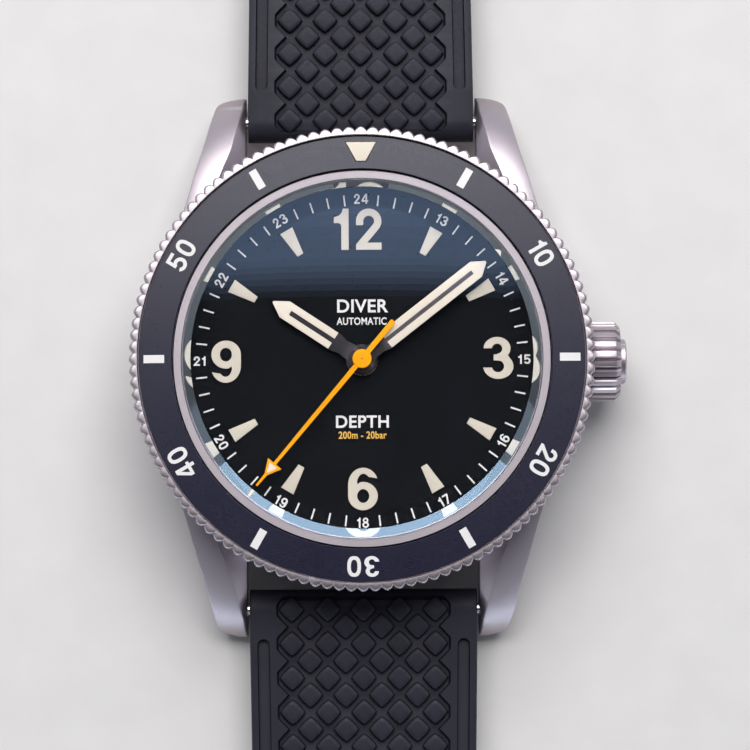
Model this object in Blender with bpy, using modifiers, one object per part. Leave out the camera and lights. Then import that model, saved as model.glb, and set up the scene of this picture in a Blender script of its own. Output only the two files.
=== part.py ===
"""Dive watch on a rubber strap, as an assembly of its separate pieces.

Frame: +Z up through the crystal, +Y towards 12 o'clock, +X towards the crown. The origin is the
middle of the case back's flat outer face, which the watch lies on with its strap laid out flat.
Driving dimensions are in millimetres. The meshes are in metres.
"""
import math

import bmesh
import bpy
from mathutils import Matrix, Vector

MM = 0.001
TAU = 2.0 * math.pi

# ---------------------------------------------------------------- driving dimensions, millimetres
BEZEL_R = 20.0
BEZEL_VALLEY_R = 19.6
BEZEL_LOBES = 120
BEZEL_BOTTOM = 8.45
BEZEL_TOP = 10.85
BEZEL_INNER_R = 16.3

CASE_R = 19.3
CASE_BOTTOM = 1.0
CASE_TOP = 8.1
NECK_R = 16.1
NECK_TOP = 10.5
NECK_LIP_R = 16.2
BORE_R = 15.15
CRYSTAL_R = 15.45
CRYSTAL_TOP = 12.8

LUG_INNER_X = 10.1
SPRING_BAR_Y = 21.4
SPRING_BAR_Z = 2.9
SPRING_BAR_R = 0.9

CROWN_AXIS_Z = 4.75
CROWN_R = 3.45
CROWN_TEETH = 24
CROWN_INNER_X = 19.5
CROWN_OUTER_X = 22.45
CROWN_END_X = 23.0
STEM_R = 0.5

DIAL_R = 14.95
DIAL_BOTTOM = 7.2
DIAL_TOP = 7.55

PLATE_R = 12.8
PLATE_BOTTOM = 5.3
PLATE_TOP = 6.5
BRIDGE_BOTTOM = 2.9
BRIDGE_TOP = 3.4

# hands: clockwise angle from 12 o'clock at rest
HOUR_ANGLE = 303.4
MINUTE_ANGLE = 52.0
SECOND_ANGLE = 220.0

# wheel centres in the plane of the movement
THIRD_AT = (-3.6, 0.0)
GREAT_AT = (-4.29, 3.94)
BARREL_AT = (-0.82, 7.96)
ESCAPE_AT = (-1.25, -3.43)
PALLET_AT = (0.74, -5.54)
BALANCE_AT = (2.8, -7.7)
MINUTE_WHEEL_AT = (2.38, -1.38)
SCREWS_AT = ((-9.6, -5.6), (8.8, 6.6), (-10.6, 4.2))

STRAP_HALF_WIDTH = 9.9
STRAP_END_HALF_WIDTH = 9.0
STRAP_TAPER_LENGTH = 65.0
STRAP_END_R = 1.75
BUCKLE_SIDE_LENGTH = 75.0
TAIL_LENGTH = 120.0
HOLE_COUNT = 10
HOLE_PITCH = 6.0
HOLE_R = 1.1
FIRST_HOLE = 50.0
BUCKLE_STATIONS = (2.0, 65.0, 68.0, 71.0)
TAIL_STATIONS = (2.0, 65.0, 111.0, 114.0, 117.0, 119.0)

BUCKLE_BAR_R = 0.75
BUCKLE_BAR_Z = 2.75
BUCKLE_REACH = 10.6
BUCKLE_WIRE_R = 1.2
BUCKLE_ARM_X = 10.2
BUCKLE_DROP = math.asin((BUCKLE_BAR_Z - BUCKLE_WIRE_R - 0.05) / BUCKLE_REACH)
KEEPER_WIDTH = 6.0

FINE = 48
SEAL = 40
MEDIUM = 32
SMALL = 16
TEETH_SHOWN = 0.5

# ---------------------------------------------------------------- scene and materials
for old in list(bpy.data.objects):
    bpy.data.objects.remove(old, do_unlink=True)

WATCH = bpy.data.collections.new("dive_watch")
CUTTERS = bpy.data.collections.new("cutters")
for new_collection in (WATCH, CUTTERS):
    bpy.context.scene.collection.children.link(new_collection)


def material(name, colour, roughness, metallic):
    """A Principled material with one colour."""
    made = bpy.data.materials.new(name)
    made.use_nodes = True
    shader = made.node_tree.nodes["Principled BSDF"]
    shader.inputs["Base Color"].default_value = (*colour, 1.0)
    shader.inputs["Roughness"].default_value = roughness
    shader.inputs["Metallic"].default_value = metallic
    return made


STEEL = material("blasted_steel", (0.55, 0.52, 0.54), 0.38, 1.0)
POLISHED = material("polished_steel", (0.72, 0.70, 0.70), 0.15, 1.0)
INSERT = material("black_insert", (0.035, 0.035, 0.045), 0.55, 0.2)
LUME = material("cream_lume", (0.83, 0.75, 0.60), 0.6, 0.0)
SAPPHIRE = material("sapphire", (0.80, 0.88, 0.95), 0.03, 0.0)
RUBBER_SEAL = material("seal_rubber", (0.02, 0.02, 0.02), 0.6, 0.0)
STRAP_RUBBER = material("strap_rubber", (0.035, 0.037, 0.045), 0.65, 0.0)
DIAL_BLACK = material("dial_black", (0.012, 0.013, 0.016), 0.45, 0.0)
HAND_DARK = material("hand_gunmetal", (0.10, 0.095, 0.09), 0.35, 0.8)
SECONDS_ORANGE = material("seconds_orange", (0.93, 0.50, 0.03), 0.4, 0.0)
BRASS = material("brass", (0.78, 0.60, 0.28), 0.3, 1.0)
NICKEL = material("nickel", (0.62, 0.60, 0.57), 0.25, 1.0)
SPRING_STEEL = material("spring_steel", (0.35, 0.37, 0.42), 0.3, 1.0)
TUNGSTEN = material("rotor_metal", (0.45, 0.43, 0.40), 0.3, 1.0)
RING_PLASTIC = material("ring_plastic", (0.72, 0.72, 0.70), 0.5, 0.0)


# ---------------------------------------------------------------- modelling helpers
def add_object(name, data, finish, place=(0.0, 0.0, 0.0), parent=None):
    """Put a datablock in the watch's collection; place is in millimetres."""
    made = bpy.data.objects.new(name, data)
    WATCH.objects.link(made)
    made.location = Vector(place) * MM
    made.parent = parent
    if finish is not None:
        made.data.materials.append(finish)
    return made


def pivot(name, place, turn=(0.0, 0.0, 0.0), parent=None):
    """An empty on a joint's axis."""
    made = bpy.data.objects.new(name, None)
    WATCH.objects.link(made)
    made.location = Vector(place) * MM
    made.rotation_euler = turn
    made.parent = parent
    return made


def as_cutter(tool):
    """Move an object to the cutters, which aren't part of the watch."""
    WATCH.objects.unlink(tool)
    CUTTERS.objects.link(tool)
    tool.hide_render = True
    tool.display_type = "WIRE"
    return tool


def boolean(target, tool, operation):
    step = target.modifiers.new(operation.lower(), "BOOLEAN")
    step.object = as_cutter(tool)
    step.operation = operation
    step.solver = "EXACT"


def cut(target, tool):
    boolean(target, tool, "DIFFERENCE")


def unite(target, tool):
    boolean(target, tool, "UNION")


def turned(name, profile, finish, steps=FINE, place=(0.0, 0.0, 0.0), ring=False, parent=None):
    """Turn (radius, height) points about the local Z axis; they run down the outer side."""
    mesh = bpy.data.meshes.new(name)
    shape = bmesh.new()
    corners = [shape.verts.new((r * MM, 0.0, z * MM)) for r, z in profile]
    for first, second in zip(corners, corners[1:]):
        shape.edges.new((first, second))
    if ring:
        shape.edges.new((corners[-1], corners[0]))
    shape.to_mesh(mesh)
    shape.free()
    made = add_object(name, mesh, finish, place, parent)
    screw = made.modifiers.new("turn", "SCREW")
    screw.angle = TAU
    screw.steps = steps
    screw.render_steps = steps
    screw.use_merge_vertices = True
    screw.merge_threshold = 0.000001
    screw.use_smooth_shade = True
    return made


def ring(name, inner, outer, bottom, top, finish, steps=FINE, place=(0.0, 0.0, 0.0), parent=None):
    """A plain flat ring."""
    profile = [(outer, top), (outer, bottom), (inner, bottom), (inner, top)]
    return turned(name, profile, finish, steps, place, True, parent)


def disc(name, radius, bottom, top, finish, steps=MEDIUM, place=(0.0, 0.0, 0.0), parent=None):
    """A plain solid cylinder."""
    profile = [(0.0, top), (radius, top), (radius, bottom), (0.0, bottom)]
    return turned(name, profile, finish, steps, place, False, parent)


def block(name, low, high, finish=None, parent=None):
    """A box between two corners in millimetres."""
    mesh = bpy.data.meshes.new(name)
    shape = bmesh.new()
    bmesh.ops.create_cube(shape, size=1.0)
    size = [(b - a) * MM for a, b in zip(low, high)]
    middle = [0.5 * (a + b) * MM for a, b in zip(low, high)]
    bmesh.ops.scale(shape, vec=size, verts=shape.verts)
    bmesh.ops.translate(shape, vec=middle, verts=shape.verts)
    shape.to_mesh(mesh)
    shape.free()
    return add_object(name, mesh, finish, parent=parent)


def plate(name, outlines, bottom, top, finish, place=(0.0, 0.0, 0.0), turn=None, parent=None):
    """Fill outlines in the local XY plane (later ones inside the first are holes) and extrude."""
    curve = bpy.data.curves.new(name + "_outline", "CURVE")
    curve.dimensions = "2D"
    curve.fill_mode = "BOTH"
    curve.extrude = 0.5 * (top - bottom) * MM
    for outline in outlines:
        spline = curve.splines.new("POLY")
        spline.points.add(len(outline) - 1)
        for point, (x, y) in zip(spline.points, outline):
            point.co = (x * MM, y * MM, 0.0, 1.0)
        spline.use_cyclic_u = True
    return solid_from_curve(name, curve, 0.5 * (top + bottom), finish, place, turn, parent)


def solid_from_curve(name, curve, lift, finish, place=(0.0, 0.0, 0.0), turn=None, parent=None):
    """Make a curve's solid a closed mesh, lifted along its local Z, and drop the curve."""
    source = bpy.data.objects.new(name + "_curve", curve)
    WATCH.objects.link(source)
    bpy.context.view_layer.update()
    graph = bpy.context.evaluated_depsgraph_get()
    mesh = bpy.data.meshes.new_from_object(source.evaluated_get(graph))
    mesh.name = name
    bpy.data.objects.remove(source, do_unlink=True)
    shape = bmesh.new()
    shape.from_mesh(mesh)
    bmesh.ops.remove_doubles(shape, verts=shape.verts, dist=0.000001)
    bmesh.ops.translate(shape, vec=(0.0, 0.0, lift * MM), verts=shape.verts)
    bmesh.ops.recalc_face_normals(shape, faces=shape.faces)
    shape.to_mesh(mesh)
    shape.free()
    mesh.materials.clear()
    made = add_object(name, mesh, finish, place, parent)
    if turn is not None:
        made.rotation_euler = turn
    return made


def circle(radius, count, at=(0.0, 0.0), phase=0.0):
    angles = [TAU * i / count + phase for i in range(count)]
    return [(at[0] + radius * math.cos(angle), at[1] + radius * math.sin(angle)) for angle in angles]


def toothed(tip, root, teeth):
    """The outline of a wheel with pointed teeth. Train wheels show every second tooth."""
    return [
        (
            (tip if i % 2 == 0 else root) * math.cos(math.pi * i / teeth),
            (tip if i % 2 == 0 else root) * math.sin(math.pi * i / teeth),
        )
        for i in range(2 * teeth)
    ]


def arc(centre, radius, start, end, count):
    """Points on an arc, angles in degrees."""
    return [
        (
            centre[0] + radius * math.cos(math.radians(start + (end - start) * i / count)),
            centre[1] + radius * math.sin(math.radians(start + (end - start) * i / count)),
        )
        for i in range(count + 1)
    ]


def dome(edge_radius, edge_z, crown_z, count):
    """A shallow dome's profile from the axis to its edge, as a parabola."""
    return [
        (edge_radius * i / count, crown_z - (crown_z - edge_z) * (i / count) ** 2)
        for i in range(count + 1)
    ]


def between(points, x):
    """Straight-line value at x through (x, value) points."""
    for (x0, v0), (x1, v1) in zip(points, points[1:]):
        if x <= x1:
            return v0 + (v1 - v0) * max(0.0, x - x0) / (x1 - x0)
    return points[-1][1]


# ---------------------------------------------------------------- case
LUG_STATIONS = (9.5, 12.0, 14.0, 16.0, 18.0, 19.5, 21.0, 22.2, 23.1, 23.6, 23.8)
LUG_OUTER_X = ((9.5, 16.7), (13.7, 15.3), (17.1, 14.35), (18.7, 13.87), (22.3, 12.95), (23.1, 12.6),
               (23.5, 11.95), (23.8, 10.95))
LUG_RIDGE_X = ((9.5, 14.6), (16.2, 12.35), (18.8, 11.35), (20.7, 10.95), (22.3, 10.45), (23.8, 10.3))
LUG_RIDGE_Z = ((9.5, 7.9), (14.0, 7.35), (16.0, 6.9), (18.0, 6.2), (19.5, 5.5), (21.0, 4.6),
               (22.2, 3.65), (23.1, 2.7), (23.6, 1.95), (23.8, 1.5))
LUG_BOTTOM_Z = ((9.5, 1.1), (17.0, 1.1), (21.0, 0.8), (23.1, 0.7), (23.8, 1.0))


def lugs():
    """One lug lofted along Y through five-cornered sections, mirrored to the other three."""
    mesh = bpy.data.meshes.new("lugs")
    shape = bmesh.new()
    loops = []
    for y in LUG_STATIONS:
        outer = between(LUG_OUTER_X, y)
        ridge = between(LUG_RIDGE_X, y)
        top = between(LUG_RIDGE_Z, y)
        low = between(LUG_BOTTOM_Z, y)
        inner_top = max(top - 0.8 * (ridge - LUG_INNER_X), low + 0.2)
        section = ((LUG_INNER_X, low), (outer - 0.5, low), (outer, max(top - 0.35, low + 0.25)),
                   (ridge, top), (LUG_INNER_X, inner_top))
        loops.append([shape.verts.new((x * MM, y * MM, z * MM)) for x, z in section])
    for near, far in zip(loops, loops[1:]):
        for i in range(5):
            j = (i + 1) % 5
            shape.faces.new((near[i], near[j], far[j], far[i]))
    shape.faces.new(loops[0])
    shape.faces.new(loops[-1])
    bmesh.ops.recalc_face_normals(shape, faces=shape.faces)
    shape.to_mesh(mesh)
    shape.free()
    made = add_object("lugs", mesh, None)
    mirror = made.modifiers.new("mirror", "MIRROR")
    mirror.use_axis = (True, True, False)
    mirror.use_mirror_merge = False
    mirror.merge_threshold = 0.000001
    return made


def mid_case():
    outer = [(0.0, NECK_TOP), (NECK_LIP_R - 0.05, NECK_TOP), (NECK_LIP_R, NECK_TOP - 0.05), (NECK_LIP_R, 8.95),
             (NECK_R, 8.85), (NECK_R, CASE_TOP), (CASE_R - 0.3, CASE_TOP), (CASE_R, CASE_TOP - 0.3),
             (CASE_R, 2.2), (CASE_R - 1.2, CASE_BOTTOM), (0.0, CASE_BOTTOM)]
    case = turned("mid_case", outer, STEEL)
    unite(case, lugs())
    cavity = [(0.0, NECK_TOP + 0.5), (15.52, NECK_TOP + 0.5), (15.52, 10.2), (15.8, 10.2), (15.8, 8.3),
              (14.85, 8.3), (14.85, 8.05), (BORE_R, 8.05), (BORE_R, 3.5), (15.9, 3.5), (15.9, 2.0),
              (16.6, 2.0), (16.6, 0.5), (0.0, 0.5)]
    cut(case, turned("case_cavity", cavity, None))
    tube_hole = disc("tube_hole", 2.15, 14.0, 20.5, None, SMALL, (0.0, 0.0, CROWN_AXIS_Z))
    tube_hole.rotation_euler = (0.0, 0.5 * math.pi, 0.0)
    cut(case, tube_hole)
    for side in (-1, 1):
        hole = disc(f"bar_hole_{side}", 0.62, -11.5, 11.5, None, 12,
                    (0.0, side * SPRING_BAR_Y, SPRING_BAR_Z))
        hole.rotation_euler = (0.0, 0.5 * math.pi, 0.0)
        cut(case, hole)
    return case


def case_back():
    profile = [(0.0, 0.95), (14.3, 0.95), (14.3, 3.2), (15.6, 3.2), (15.6, 1.2), (16.3, 1.2),
               (16.3, 0.5), (15.8, 0.0), (0.0, 0.0)]
    back = turned("case_back", profile, STEEL)
    for i in range(6):
        notch = block(f"wrench_notch_{i}", (15.2, -1.2, -0.5), (17.0, 1.2, 0.6))
        notch.rotation_euler = (0.0, 0.0, TAU * i / 6)
        cut(back, notch)
    ring("case_back_gasket", 15.72, 16.25, 1.45, 1.75, RUBBER_SEAL, SEAL)


def crystal():
    top = dome(14.7, 11.75, CRYSTAL_TOP, 3)
    under = dome(15.0, 10.3, 11.0, 2)
    profile = top + [(CRYSTAL_R, 11.0), (CRYSTAL_R, 8.55), (15.1, 8.55), (15.1, 10.15)] + under[::-1]
    turned("crystal", profile, SAPPHIRE)
    ring("crystal_gasket", 15.53, 15.72, 8.45, 10.05, RUBBER_SEAL, SEAL)
    ring("inner_flange_ring", 14.6, 15.05, 7.7, 7.95, DIAL_BLACK, SEAL)


def bezel():
    lobed = toothed(BEZEL_R, BEZEL_VALLEY_R, BEZEL_LOBES)
    body = plate("bezel_ring", [lobed], BEZEL_BOTTOM, BEZEL_TOP, STEEL)
    inside = [(0.0, 11.5), (19.25, 11.5), (19.25, 10.0), (BEZEL_INNER_R, 10.0), (BEZEL_INNER_R, 8.75),
              (18.8, 8.75), (18.8, 8.0), (0.0, 8.0)]
    cut(body, turned("bezel_inside", inside, None))
    insert_profile = [(19.15, 10.55), (19.15, 10.1), (16.35, 10.1), (16.35, 10.75)]
    insert = turned("bezel_insert", insert_profile, INSERT, ring=True)
    pocket = [(-1.38, 18.68), (1.38, 18.68), (0.47, 16.9), (-0.47, 16.9)]
    cut(insert, plate("marker_pocket", [pocket], 10.35, 11.2, None))
    marker = [(-1.28, 18.6), (1.28, 18.6), (0.4, 17.0), (-0.4, 17.0)]
    plate("bezel_lume_marker", [marker], 10.42, 10.76, LUME)
    ring("bezel_gasket", 16.2, 16.45, 8.42, 8.68, RUBBER_SEAL, SEAL)
    spring = ring("bezel_click_spring", 16.6, 18.4, 8.2, 8.35, SPRING_STEEL, 48)
    cut(spring, block("spring_gap", (-19.0, -1.0, 8.0), (-16.0, 1.0, 8.6)))


# ---------------------------------------------------------------- crown and keyless work
def along_x(made):
    """Lay a piece turned about Z along the stem, with its local Z towards +X."""
    made.rotation_euler = (0.0, 0.5 * math.pi, 0.0)
    return made


def crown():
    axis = pivot("crown_axis", (0.0, 0.0, CROWN_AXIS_Z))
    outline = []
    for i in range(CROWN_TEETH):
        for share, radius in ((-0.28, CROWN_R), (0.28, CROWN_R), (0.5, CROWN_R - 0.35)):
            angle = TAU * (i + share) / CROWN_TEETH
            outline.append((radius * math.cos(angle), radius * math.sin(angle)))
    body = along_x(plate("crown", [outline], CROWN_INNER_X, CROWN_OUTER_X, STEEL, parent=axis))
    cap = [(0.0, CROWN_END_X), (1.75, CROWN_END_X), (1.95, CROWN_END_X - 0.2), (1.95, 22.0), (0.0, 22.0)]
    unite(body, along_x(turned("crown_cap", cap, None, 24, parent=axis)))
    cut(body, along_x(disc("crown_bore", 2.35, 19.0, 21.7, None, 20, parent=axis)))
    along_x(disc("winding_stem", STEM_R, 5.0, 21.45, SPRING_STEEL, 16, parent=axis))
    along_x(ring("crown_gasket", 1.2, 2.2, 21.15, 21.5, RUBBER_SEAL, 16, parent=axis))
    along_x(ring("crown_tube", 1.1, 2.0, 15.6, 21.0, STEEL, 16, parent=axis))
    for name, start, end in (("sliding_clutch", 6.2, 7.7), ("winding_pinion", 8.1, 9.5)):
        outlines = [toothed(1.15, 0.95, 14), circle(0.62, 14)]
        gear = plate(name, outlines, start, end, SPRING_STEEL, parent=axis)
        along_x(gear)


# ---------------------------------------------------------------- movement
def wheel(name, at, tip, root, teeth, bottom, top, staff, spokes=0, finish=BRASS):
    """A toothed disc with round windows, joined to a turned staff given as (radius, height)."""
    axis = pivot(name + "_axis", (at[0], at[1], 0.0))
    outlines = [toothed(tip, root, teeth)]
    hub = max(radius for radius, height in staff)
    size = 0.42 * (root - hub - 0.1)
    for i in range(spokes):
        angle = TAU * (i + 0.5) / spokes
        middle = 0.5 * (root + hub)
        outlines.append(circle(size, 8, (middle * math.cos(angle), middle * math.sin(angle))))
    body = plate(name, outlines, bottom, top, finish, parent=axis)
    unite(body, turned(name + "_staff", staff, None, 10, parent=axis))
    return body


def going_train():
    barrel_drum = [(0.0, 5.2), (0.5, 5.2), (0.5, 4.4), (4.0, 4.4), (4.0, 3.75), (0.5, 3.75), (0.5, 3.5),
                   (0.0, 3.5)]
    axis = pivot("barrel_axis", (*BARREL_AT, 0.0))
    barrel = plate("barrel", [toothed(4.4, 4.15, round(84 * TEETH_SHOWN))], 3.65, 3.85, NICKEL, parent=axis)
    unite(barrel, turned("barrel_drum", barrel_drum, None, 24, parent=axis))
    wheel("great_wheel", GREAT_AT, 3.3, 3.1, round(80 * TEETH_SHOWN), 4.6, 4.8,
          [(0.0, 5.2), (0.2, 5.2), (0.2, 4.4), (0.8, 4.4), (0.8, 3.7), (0.2, 3.7), (0.2, 3.5),
           (0.0, 3.5)], 4)
    wheel("third_wheel", THIRD_AT, 3.0, 2.8, round(75 * TEETH_SHOWN), 4.15, 4.35,
          [(0.0, 5.2), (0.6, 5.2), (0.6, 4.5), (0.2, 4.5), (0.2, 3.5), (0.0, 3.5)], 4)
    wheel("seconds_wheel", (0.0, 0.0), 3.2, 3.0, round(84 * TEETH_SHOWN), 3.7, 3.9,
          [(0.0, 8.95), (0.2, 8.95), (0.2, 4.4), (0.5, 4.4), (0.5, 4.1), (0.2, 4.1), (0.2, 3.5),
           (0.0, 3.5)], 4)
    wheel("escape_wheel", ESCAPE_AT, 1.9, 1.4, 20, 4.5, 4.65,
          [(0.0, 5.2), (0.2, 5.2), (0.2, 4.1), (0.35, 4.1), (0.35, 3.7), (0.15, 3.7), (0.15, 3.5),
           (0.0, 3.5)],
          0, SPRING_STEEL)


def escapement():
    fork_axis = pivot("pallet_fork_axis", (*PALLET_AT, 0.0))
    to_balance = math.atan2(BALANCE_AT[1] - PALLET_AT[1], BALANCE_AT[0] - PALLET_AT[0])
    fork_axis.rotation_euler = (0.0, 0.0, to_balance)
    outline = [(2.1, -0.35), (2.1, -0.18), (1.75, -0.1), (1.75, 0.1), (2.1, 0.18), (2.1, 0.35), (1.6, 0.2),
               (-0.2, 0.25), (-0.75, 1.3), (-0.95, 1.3), (-0.6, 0.0), (-0.95, -1.3), (-0.75, -1.3),
               (-0.2, -0.25), (1.6, -0.2)]
    fork = plate("pallet_fork", [outline[::-1]], 4.5, 4.65, SPRING_STEEL, parent=fork_axis)
    unite(fork, plate("pallet_staff", [circle(0.15, 10)], 4.32, 5.2, None, parent=fork_axis))
    balance_axis = pivot("balance_axis", (*BALANCE_AT, 0.0))
    rim = [circle(4.0, 28), circle(3.5, 28)]
    balance = plate("balance_wheel", rim, 3.95, 4.25, BRASS, parent=balance_axis)
    spoke = block("balance_spoke", (-3.7, -0.2, 4.0), (3.7, 0.2, 4.2), parent=balance_axis)
    unite(balance, spoke)
    unite(balance, plate("balance_staff", [circle(0.2, 12)], 3.5, 5.2, None, parent=balance_axis))
    unite(balance, plate("balance_roller", [circle(0.55, 14)], 4.45, 4.7, None, parent=balance_axis))
    coil = bpy.data.curves.new("hairspring_wire", "CURVE")
    coil.dimensions = "3D"
    coil.bevel_depth = 0.05 * MM
    coil.bevel_resolution = 1
    coil.use_fill_caps = True
    turns = 3
    steps = 14
    spline = coil.splines.new("POLY")
    spline.points.add(turns * steps)
    for i, point in enumerate(spline.points):
        radius = 0.7 + 1.9 * i / (turns * steps)
        angle = TAU * i / steps
        point.co = (radius * math.cos(angle) * MM, radius * math.sin(angle) * MM, 0.0, 1.0)
    solid_from_curve("hairspring", coil, 3.72, SPRING_STEEL, parent=balance_axis)


def plates():
    main = ring("main_plate", 1.0, PLATE_R, PLATE_BOTTOM, PLATE_TOP, NICKEL, 36)
    cut(main, block("stem_slot", (5.6, -1.4, 5.0), (13.5, 1.4, 6.1)))
    bridge = disc("train_bridge", PLATE_R - 0.3, BRIDGE_BOTTOM, BRIDGE_TOP, NICKEL, 36)
    cut(bridge, disc("balance_window", 4.6, 2.0, 4.0, None, 24, (*BALANCE_AT, 0.0)))
    cut(bridge, block("balance_gap", (0.6, -14.0, 2.0), (6.6, -9.4, 4.0)))
    for number, at in enumerate(SCREWS_AT, start=1):
        for target, name in ((bridge, "bridge"), (main, "plate")):
            cut(target, disc(f"{name}_screw_hole_{number}", 0.4, 2.0, 6.2, None, 12, (*at, 0.0)))
        profile = [(0.0, 6.0), (0.3, 6.0), (0.3, 2.86), (0.75, 2.86), (0.75, 2.62), (0.0, 2.62)]
        screw = turned(f"bridge_screw_{number}", profile, SPRING_STEEL, 16, (*at, 0.0))
        slot = block(f"screw_slot_{number}", (-0.09, -1.0, 2.5), (0.09, 1.0, 2.72))
        slot.location = Vector((*at, 0.0)) * MM
        cut(screw, slot)
    outline = [(-0.9, -4.2), (0.9, -4.2), (0.9, -0.4), (0.5, 0.9), (-0.5, 0.9), (-0.9, -0.4)]
    cock_axis = pivot("balance_cock_axis", (*BALANCE_AT, 0.0), (0.0, 0.0, math.radians(20.0)))
    plate("balance_cock", [outline], 2.9, 3.4, NICKEL, parent=cock_axis)
    holder = ring("movement_holder", 12.95, 14.85, 4.0, 7.0, RING_PLASTIC, 36)
    cut(holder, block("holder_slot", (12.0, -0.9, 3.0), (16.0, 0.9, 5.6)))


def motion_work():
    axis = pivot("hands_axis", (0.0, 0.0, 0.0))
    cannon_teeth = [toothed(2.9, 2.75, round(60 * TEETH_SHOWN)), circle(0.35, 16)]
    cannon = plate("cannon_pinion", cannon_teeth, 4.95, 5.15, BRASS, parent=axis)
    unite(cannon, plate("cannon_tube", [circle(0.7, 16), circle(0.35, 16)], 5.1, 8.75, None, parent=axis))
    hour_teeth = [toothed(2.2, 2.05, round(40 * TEETH_SHOWN)), circle(0.82, 20)]
    hour = plate("hour_wheel", hour_teeth, 6.85, 7.0, BRASS, parent=axis)
    unite(hour, plate("hour_tube", [circle(0.95, 20), circle(0.82, 20)], 6.95, 8.25, None, parent=axis))
    wheel("minute_wheel", MINUTE_WHEEL_AT, 1.9, 1.75, round(36 * TEETH_SHOWN), 6.58, 6.75,
          [(0.0, 7.02), (0.42, 7.02), (0.42, 6.85), (0.3, 6.85), (0.3, 6.65), (0.0, 6.65)])
    ring("dial", 1.35, DIAL_R, DIAL_BOTTOM, DIAL_TOP, DIAL_BLACK)


def hands():
    axis = pivot("hand_arbor", (0.0, 0.0, 0.0))
    hour_shape = arc((0.0, 0.0), 1.3, 130.0, 410.0, 20)
    hour_shape += [(0.64, 2.0), (0.82, 2.6), (0.82, 7.85), (0.0, 9.1), (-0.82, 7.85), (-0.82, 2.6),
                   (-0.64, 2.0)]
    plate("hour_hand", [hour_shape, circle(1.02, 20)], 8.0, 8.2, LUME,
          turn=(0.0, 0.0, -math.radians(HOUR_ANGLE)), parent=axis)
    minute_shape = arc((0.0, 0.0), 1.15, 130.0, 410.0, 20)
    minute_shape += [(0.64, 1.9), (0.82, 2.5), (0.82, 12.4), (0.0, 13.5), (-0.82, 12.4), (-0.82, 2.5),
                     (-0.64, 1.9)]
    plate("minute_hand", [minute_shape, circle(0.76, 20)], 8.45, 8.65, LUME,
          turn=(0.0, 0.0, -math.radians(MINUTE_ANGLE)), parent=axis)
    second_shape = arc((0.0, 0.0), 0.8, -70.0, 70.0, 8) + [
        (0.22, 11.6), (0.75, 11.6), (0.12, 12.8), (0.1, 13.8), (-0.1, 13.8), (-0.12, 12.8), (-0.75, 11.6),
        (-0.22, 11.6)] + arc((0.0, 0.0), 0.8, 110.0, 250.0, 8) + [(-0.26, -4.2), (0.26, -4.2)]
    plate("second_hand", [second_shape], 9.0, 9.2, SECONDS_ORANGE,
          turn=(0.0, 0.0, -math.radians(SECOND_ANGLE)), parent=axis)


def winding_rotor():
    outline = arc((0.0, 0.0), 12.3, 180.0, 360.0, 20) + arc((0.0, 0.0), 9.4, 360.0, 180.0, 16)
    rotor = plate("rotor", [outline], 1.25, 2.45, TUNGSTEN)
    web = arc((0.0, 0.0), 9.8, 184.0, 356.0, 14) + arc((0.0, 0.0), 2.2, 20.0, 160.0, 8)
    unite(rotor, plate("rotor_web", [web], 2.05, 2.35, None))
    cut(rotor, disc("rotor_bore", 1.3, 1.0, 3.0, None, 16))
    profile = [(0.0, 2.8), (1.6, 2.8), (1.6, 2.55), (1.1, 2.55), (1.1, 2.05), (1.6, 2.05), (1.6, 1.8),
               (0.0, 1.8)]
    turned("rotor_axle", profile, SPRING_STEEL, 14)


# ---------------------------------------------------------------- strap and buckle
def half_width(distance, tip):
    """Half the strap's width at a distance from the spring bar; a tail narrows to a rounded tip."""
    width = between(((2.0, STRAP_HALF_WIDTH), (STRAP_TAPER_LENGTH, STRAP_END_HALF_WIDTH)), distance)
    if tip and distance > TAIL_LENGTH - 9.0:
        share = (distance - TAIL_LENGTH + 9.0) / 9.0
        return width * math.sqrt(max(0.03, 1.0 - share * share))
    if not tip:
        return min(width, between(((68.0, STRAP_HALF_WIDTH), (71.0, 8.5)), distance))
    return width


def slice_across(body, stations):
    """Add edge loops across a side outline, so that its flat sides can follow the taper."""
    shape = bmesh.new()
    shape.from_mesh(body.data)
    for station in stations:
        everything = list(shape.verts) + list(shape.edges) + list(shape.faces)
        bmesh.ops.bisect_plane(shape, geom=everything, plane_co=(station * MM, 0.0, 0.0),
                               plane_no=(1.0, 0.0, 0.0), dist=0.0000001)
    shape.to_mesh(body.data)
    shape.free()


def strap(name, top, bottom, length, tip, turn):
    """Extrude the strap's side outline across its width, then taper the width along it."""
    place = (0.0, SPRING_BAR_Y if not tip else -SPRING_BAR_Y, SPRING_BAR_Z)
    outline = arc((0.0, 0.0), STRAP_END_R, 90.0, 270.0, 10)
    outline += [(u, z - SPRING_BAR_Z) for u, z in bottom]
    if tip:
        outline += [(length, 1.0 - SPRING_BAR_Z), (length, 1.9 - SPRING_BAR_Z)]
    else:
        outline += arc((length, BUCKLE_BAR_Z - SPRING_BAR_Z), 1.6, -90.0, 90.0, 10)
    outline += [(u, z - SPRING_BAR_Z) for u, z in top[::-1]]
    holes = [circle(SPRING_BAR_R + 0.1, 20)]
    if not tip:
        holes.append(circle(BUCKLE_BAR_R + 0.1, 16, (length, BUCKLE_BAR_Z - SPRING_BAR_Z)))
    body = plate(name, [outline] + holes, -1.0, 1.0, STRAP_RUBBER, place)
    slice_across(body, TAIL_STATIONS if tip else BUCKLE_STATIONS)
    stand = Matrix(((0.0, 0.0, 1.0), (1.0, 0.0, 0.0), (0.0, 1.0, 0.0))).to_4x4()
    body.data.transform(stand)
    for corner in body.data.vertices:
        side = corner.co.x / MM
        corner.co.x = side * half_width(corner.co.y / MM, tip) * MM
    body.rotation_euler = (0.0, 0.0, turn)
    return body


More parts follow.
